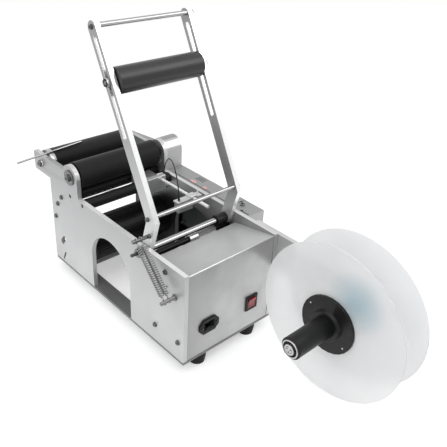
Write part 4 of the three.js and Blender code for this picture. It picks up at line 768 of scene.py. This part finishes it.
# lengthwise ribs round the gear motor; a rib's foot is sunk, and its top has a share of its width
motorRibs = {"y": 350.0, "height": 74.0, "radius": 42.9, "rise": 1.5, "sunk": 0.6, "width": 2.6,
             "topShare": 0.6, "from": 24.0, "to": 196.0, "count": 40}
ribFaces = ((0, 1, 3, 2), (4, 6, 7, 5), (0, 4, 5, 1), (2, 3, 7, 6), (0, 2, 6, 4), (1, 5, 7, 3))
bm = bmesh.new()
axis = Vector((0, motorRibs["y"], motorRibs["height"])) + originShift
for across, upward in circle(motorRibs["count"]):
    outward, sideways = Vector((0, across, upward)), Vector((0, -upward, across))
    corners = []
    for x in (motorRibs["from"], motorRibs["to"]):
        for reach, share in ((-motorRibs["sunk"], 1.0), (motorRibs["rise"], motorRibs["topShare"])):
            foot = axis + outward * (motorRibs["radius"] + reach) + Vector((x, 0, 0))
            halfWidth = sideways * share * motorRibs["width"] / 2
            corners += [bm.verts.new(end / perMetre) for end in (foot - halfWidth, foot + halfWidth)]
    for numbers in ribFaces:
        bm.faces.new([corners[number] for number in numbers])
bmesh.ops.recalc_face_normals(bm, faces=bm.faces)
finished(meshFrom(bm, "motor_ribs", "motorBlack"), "motor_ribs", "frame")
print("small parts made")

# the floor reads white where it is seen or mirrored, keeps its shadow, and fades out far away
floorLook = {"half": 6.0, "tones": (0.8, 0.82), "cloudScale": 3, "rough": 0.9, "specular": 0.1,
             "glow": 0.42, "fade": (0.7, 1.4)}
half = floorLook["half"]
floorMesh = bpy.data.meshes.new("floor")
corners = [(-half, -half, 0), (half, -half, 0), (half, half, 0), (-half, half, 0)]
floorMesh.from_pydata(corners, [], [(0, 1, 2, 3)])
floor = bpy.data.objects.new("floor", floorMesh)
bpy.context.scene.collection.objects.link(floor)
material, graph, shader = newPaint("floorPaint")
cloud = graph.noise(floorLook["cloudScale"]).spread(*grainSpan)
graph.join(graph.mixColour(cloud, *(grey(tone) for tone in floorLook["tones"])), shader["Base Color"])
glow = graph.mixColour(graph.whiteRays(), grey(0.0), grey(floorLook["glow"]))
graph.join(glow, shader["Emission Color"])
distance = graph.node("ShaderNodeVectorMath", {"operation": "LENGTH"}, graph.objectSpace(), out="Value")
graph.join(distance.spread(*floorLook["fade"], 1, 0), shader["Alpha"])
shader["Emission Strength"].default_value = 1.0
shader["Roughness"].default_value = floorLook["rough"]
shader["Specular IOR Level"].default_value = floorLook["specular"]
floorMesh.materials.append(material)

lightCards = {
    "topCard": {"size": 3.2, "place": (-0.4, -0.3, 2.6), "aim": (0, 0, 0.2), "power": 38},
    "leftCard": {"size": 2.0, "place": (-2.4, 0.1, 1.5), "aim": (0, 0, 0.2), "power": 17},
    "sideCard": {"size": 1.3, "place": (1.55, -1.25, 1.95), "aim": (0, 0, 0.25), "power": 13},
}
for name, card in lightCards.items():
    data = bpy.data.lights.new(name, "AREA")
    data.shape = "SQUARE"
    data.size = card["size"]
    data.energy = card["power"]
    lamp = bpy.data.objects.new(name, data)
    lamp.location = card["place"]
    lamp.rotation_euler = (Vector(card["aim"]) - Vector(card["place"])).to_track_quat("-Z", "Y").to_euler()
    bpy.context.scene.collection.objects.link(lamp)

# plain white behind the part, and a softer light from all round
sky = {"tone": (0.96, 0.98, 1.0, 1), "strength": 0.5}
world = bpy.data.worlds.new("studio")
bpy.context.scene.world = world
world.use_nodes = True
world.node_tree.nodes.clear()
graph = Graph(world.node_tree)
soft = graph.node("ShaderNodeBackground", {}, inputs={"Color": sky["tone"], "Strength": sky["strength"]})
seen = graph.node("ShaderNodeBackground", {}, inputs={"Color": grey(1.0), "Strength": 1.0})
mixed = graph.node("ShaderNodeMixShader", {}, graph.whiteRays(), soft, seen)
graph.join(mixed, world.node_tree.nodes.new("ShaderNodeOutputWorld").inputs["Surface"])
bpy.context.scene.view_settings.view_transform = "Standard"
print("stage set")
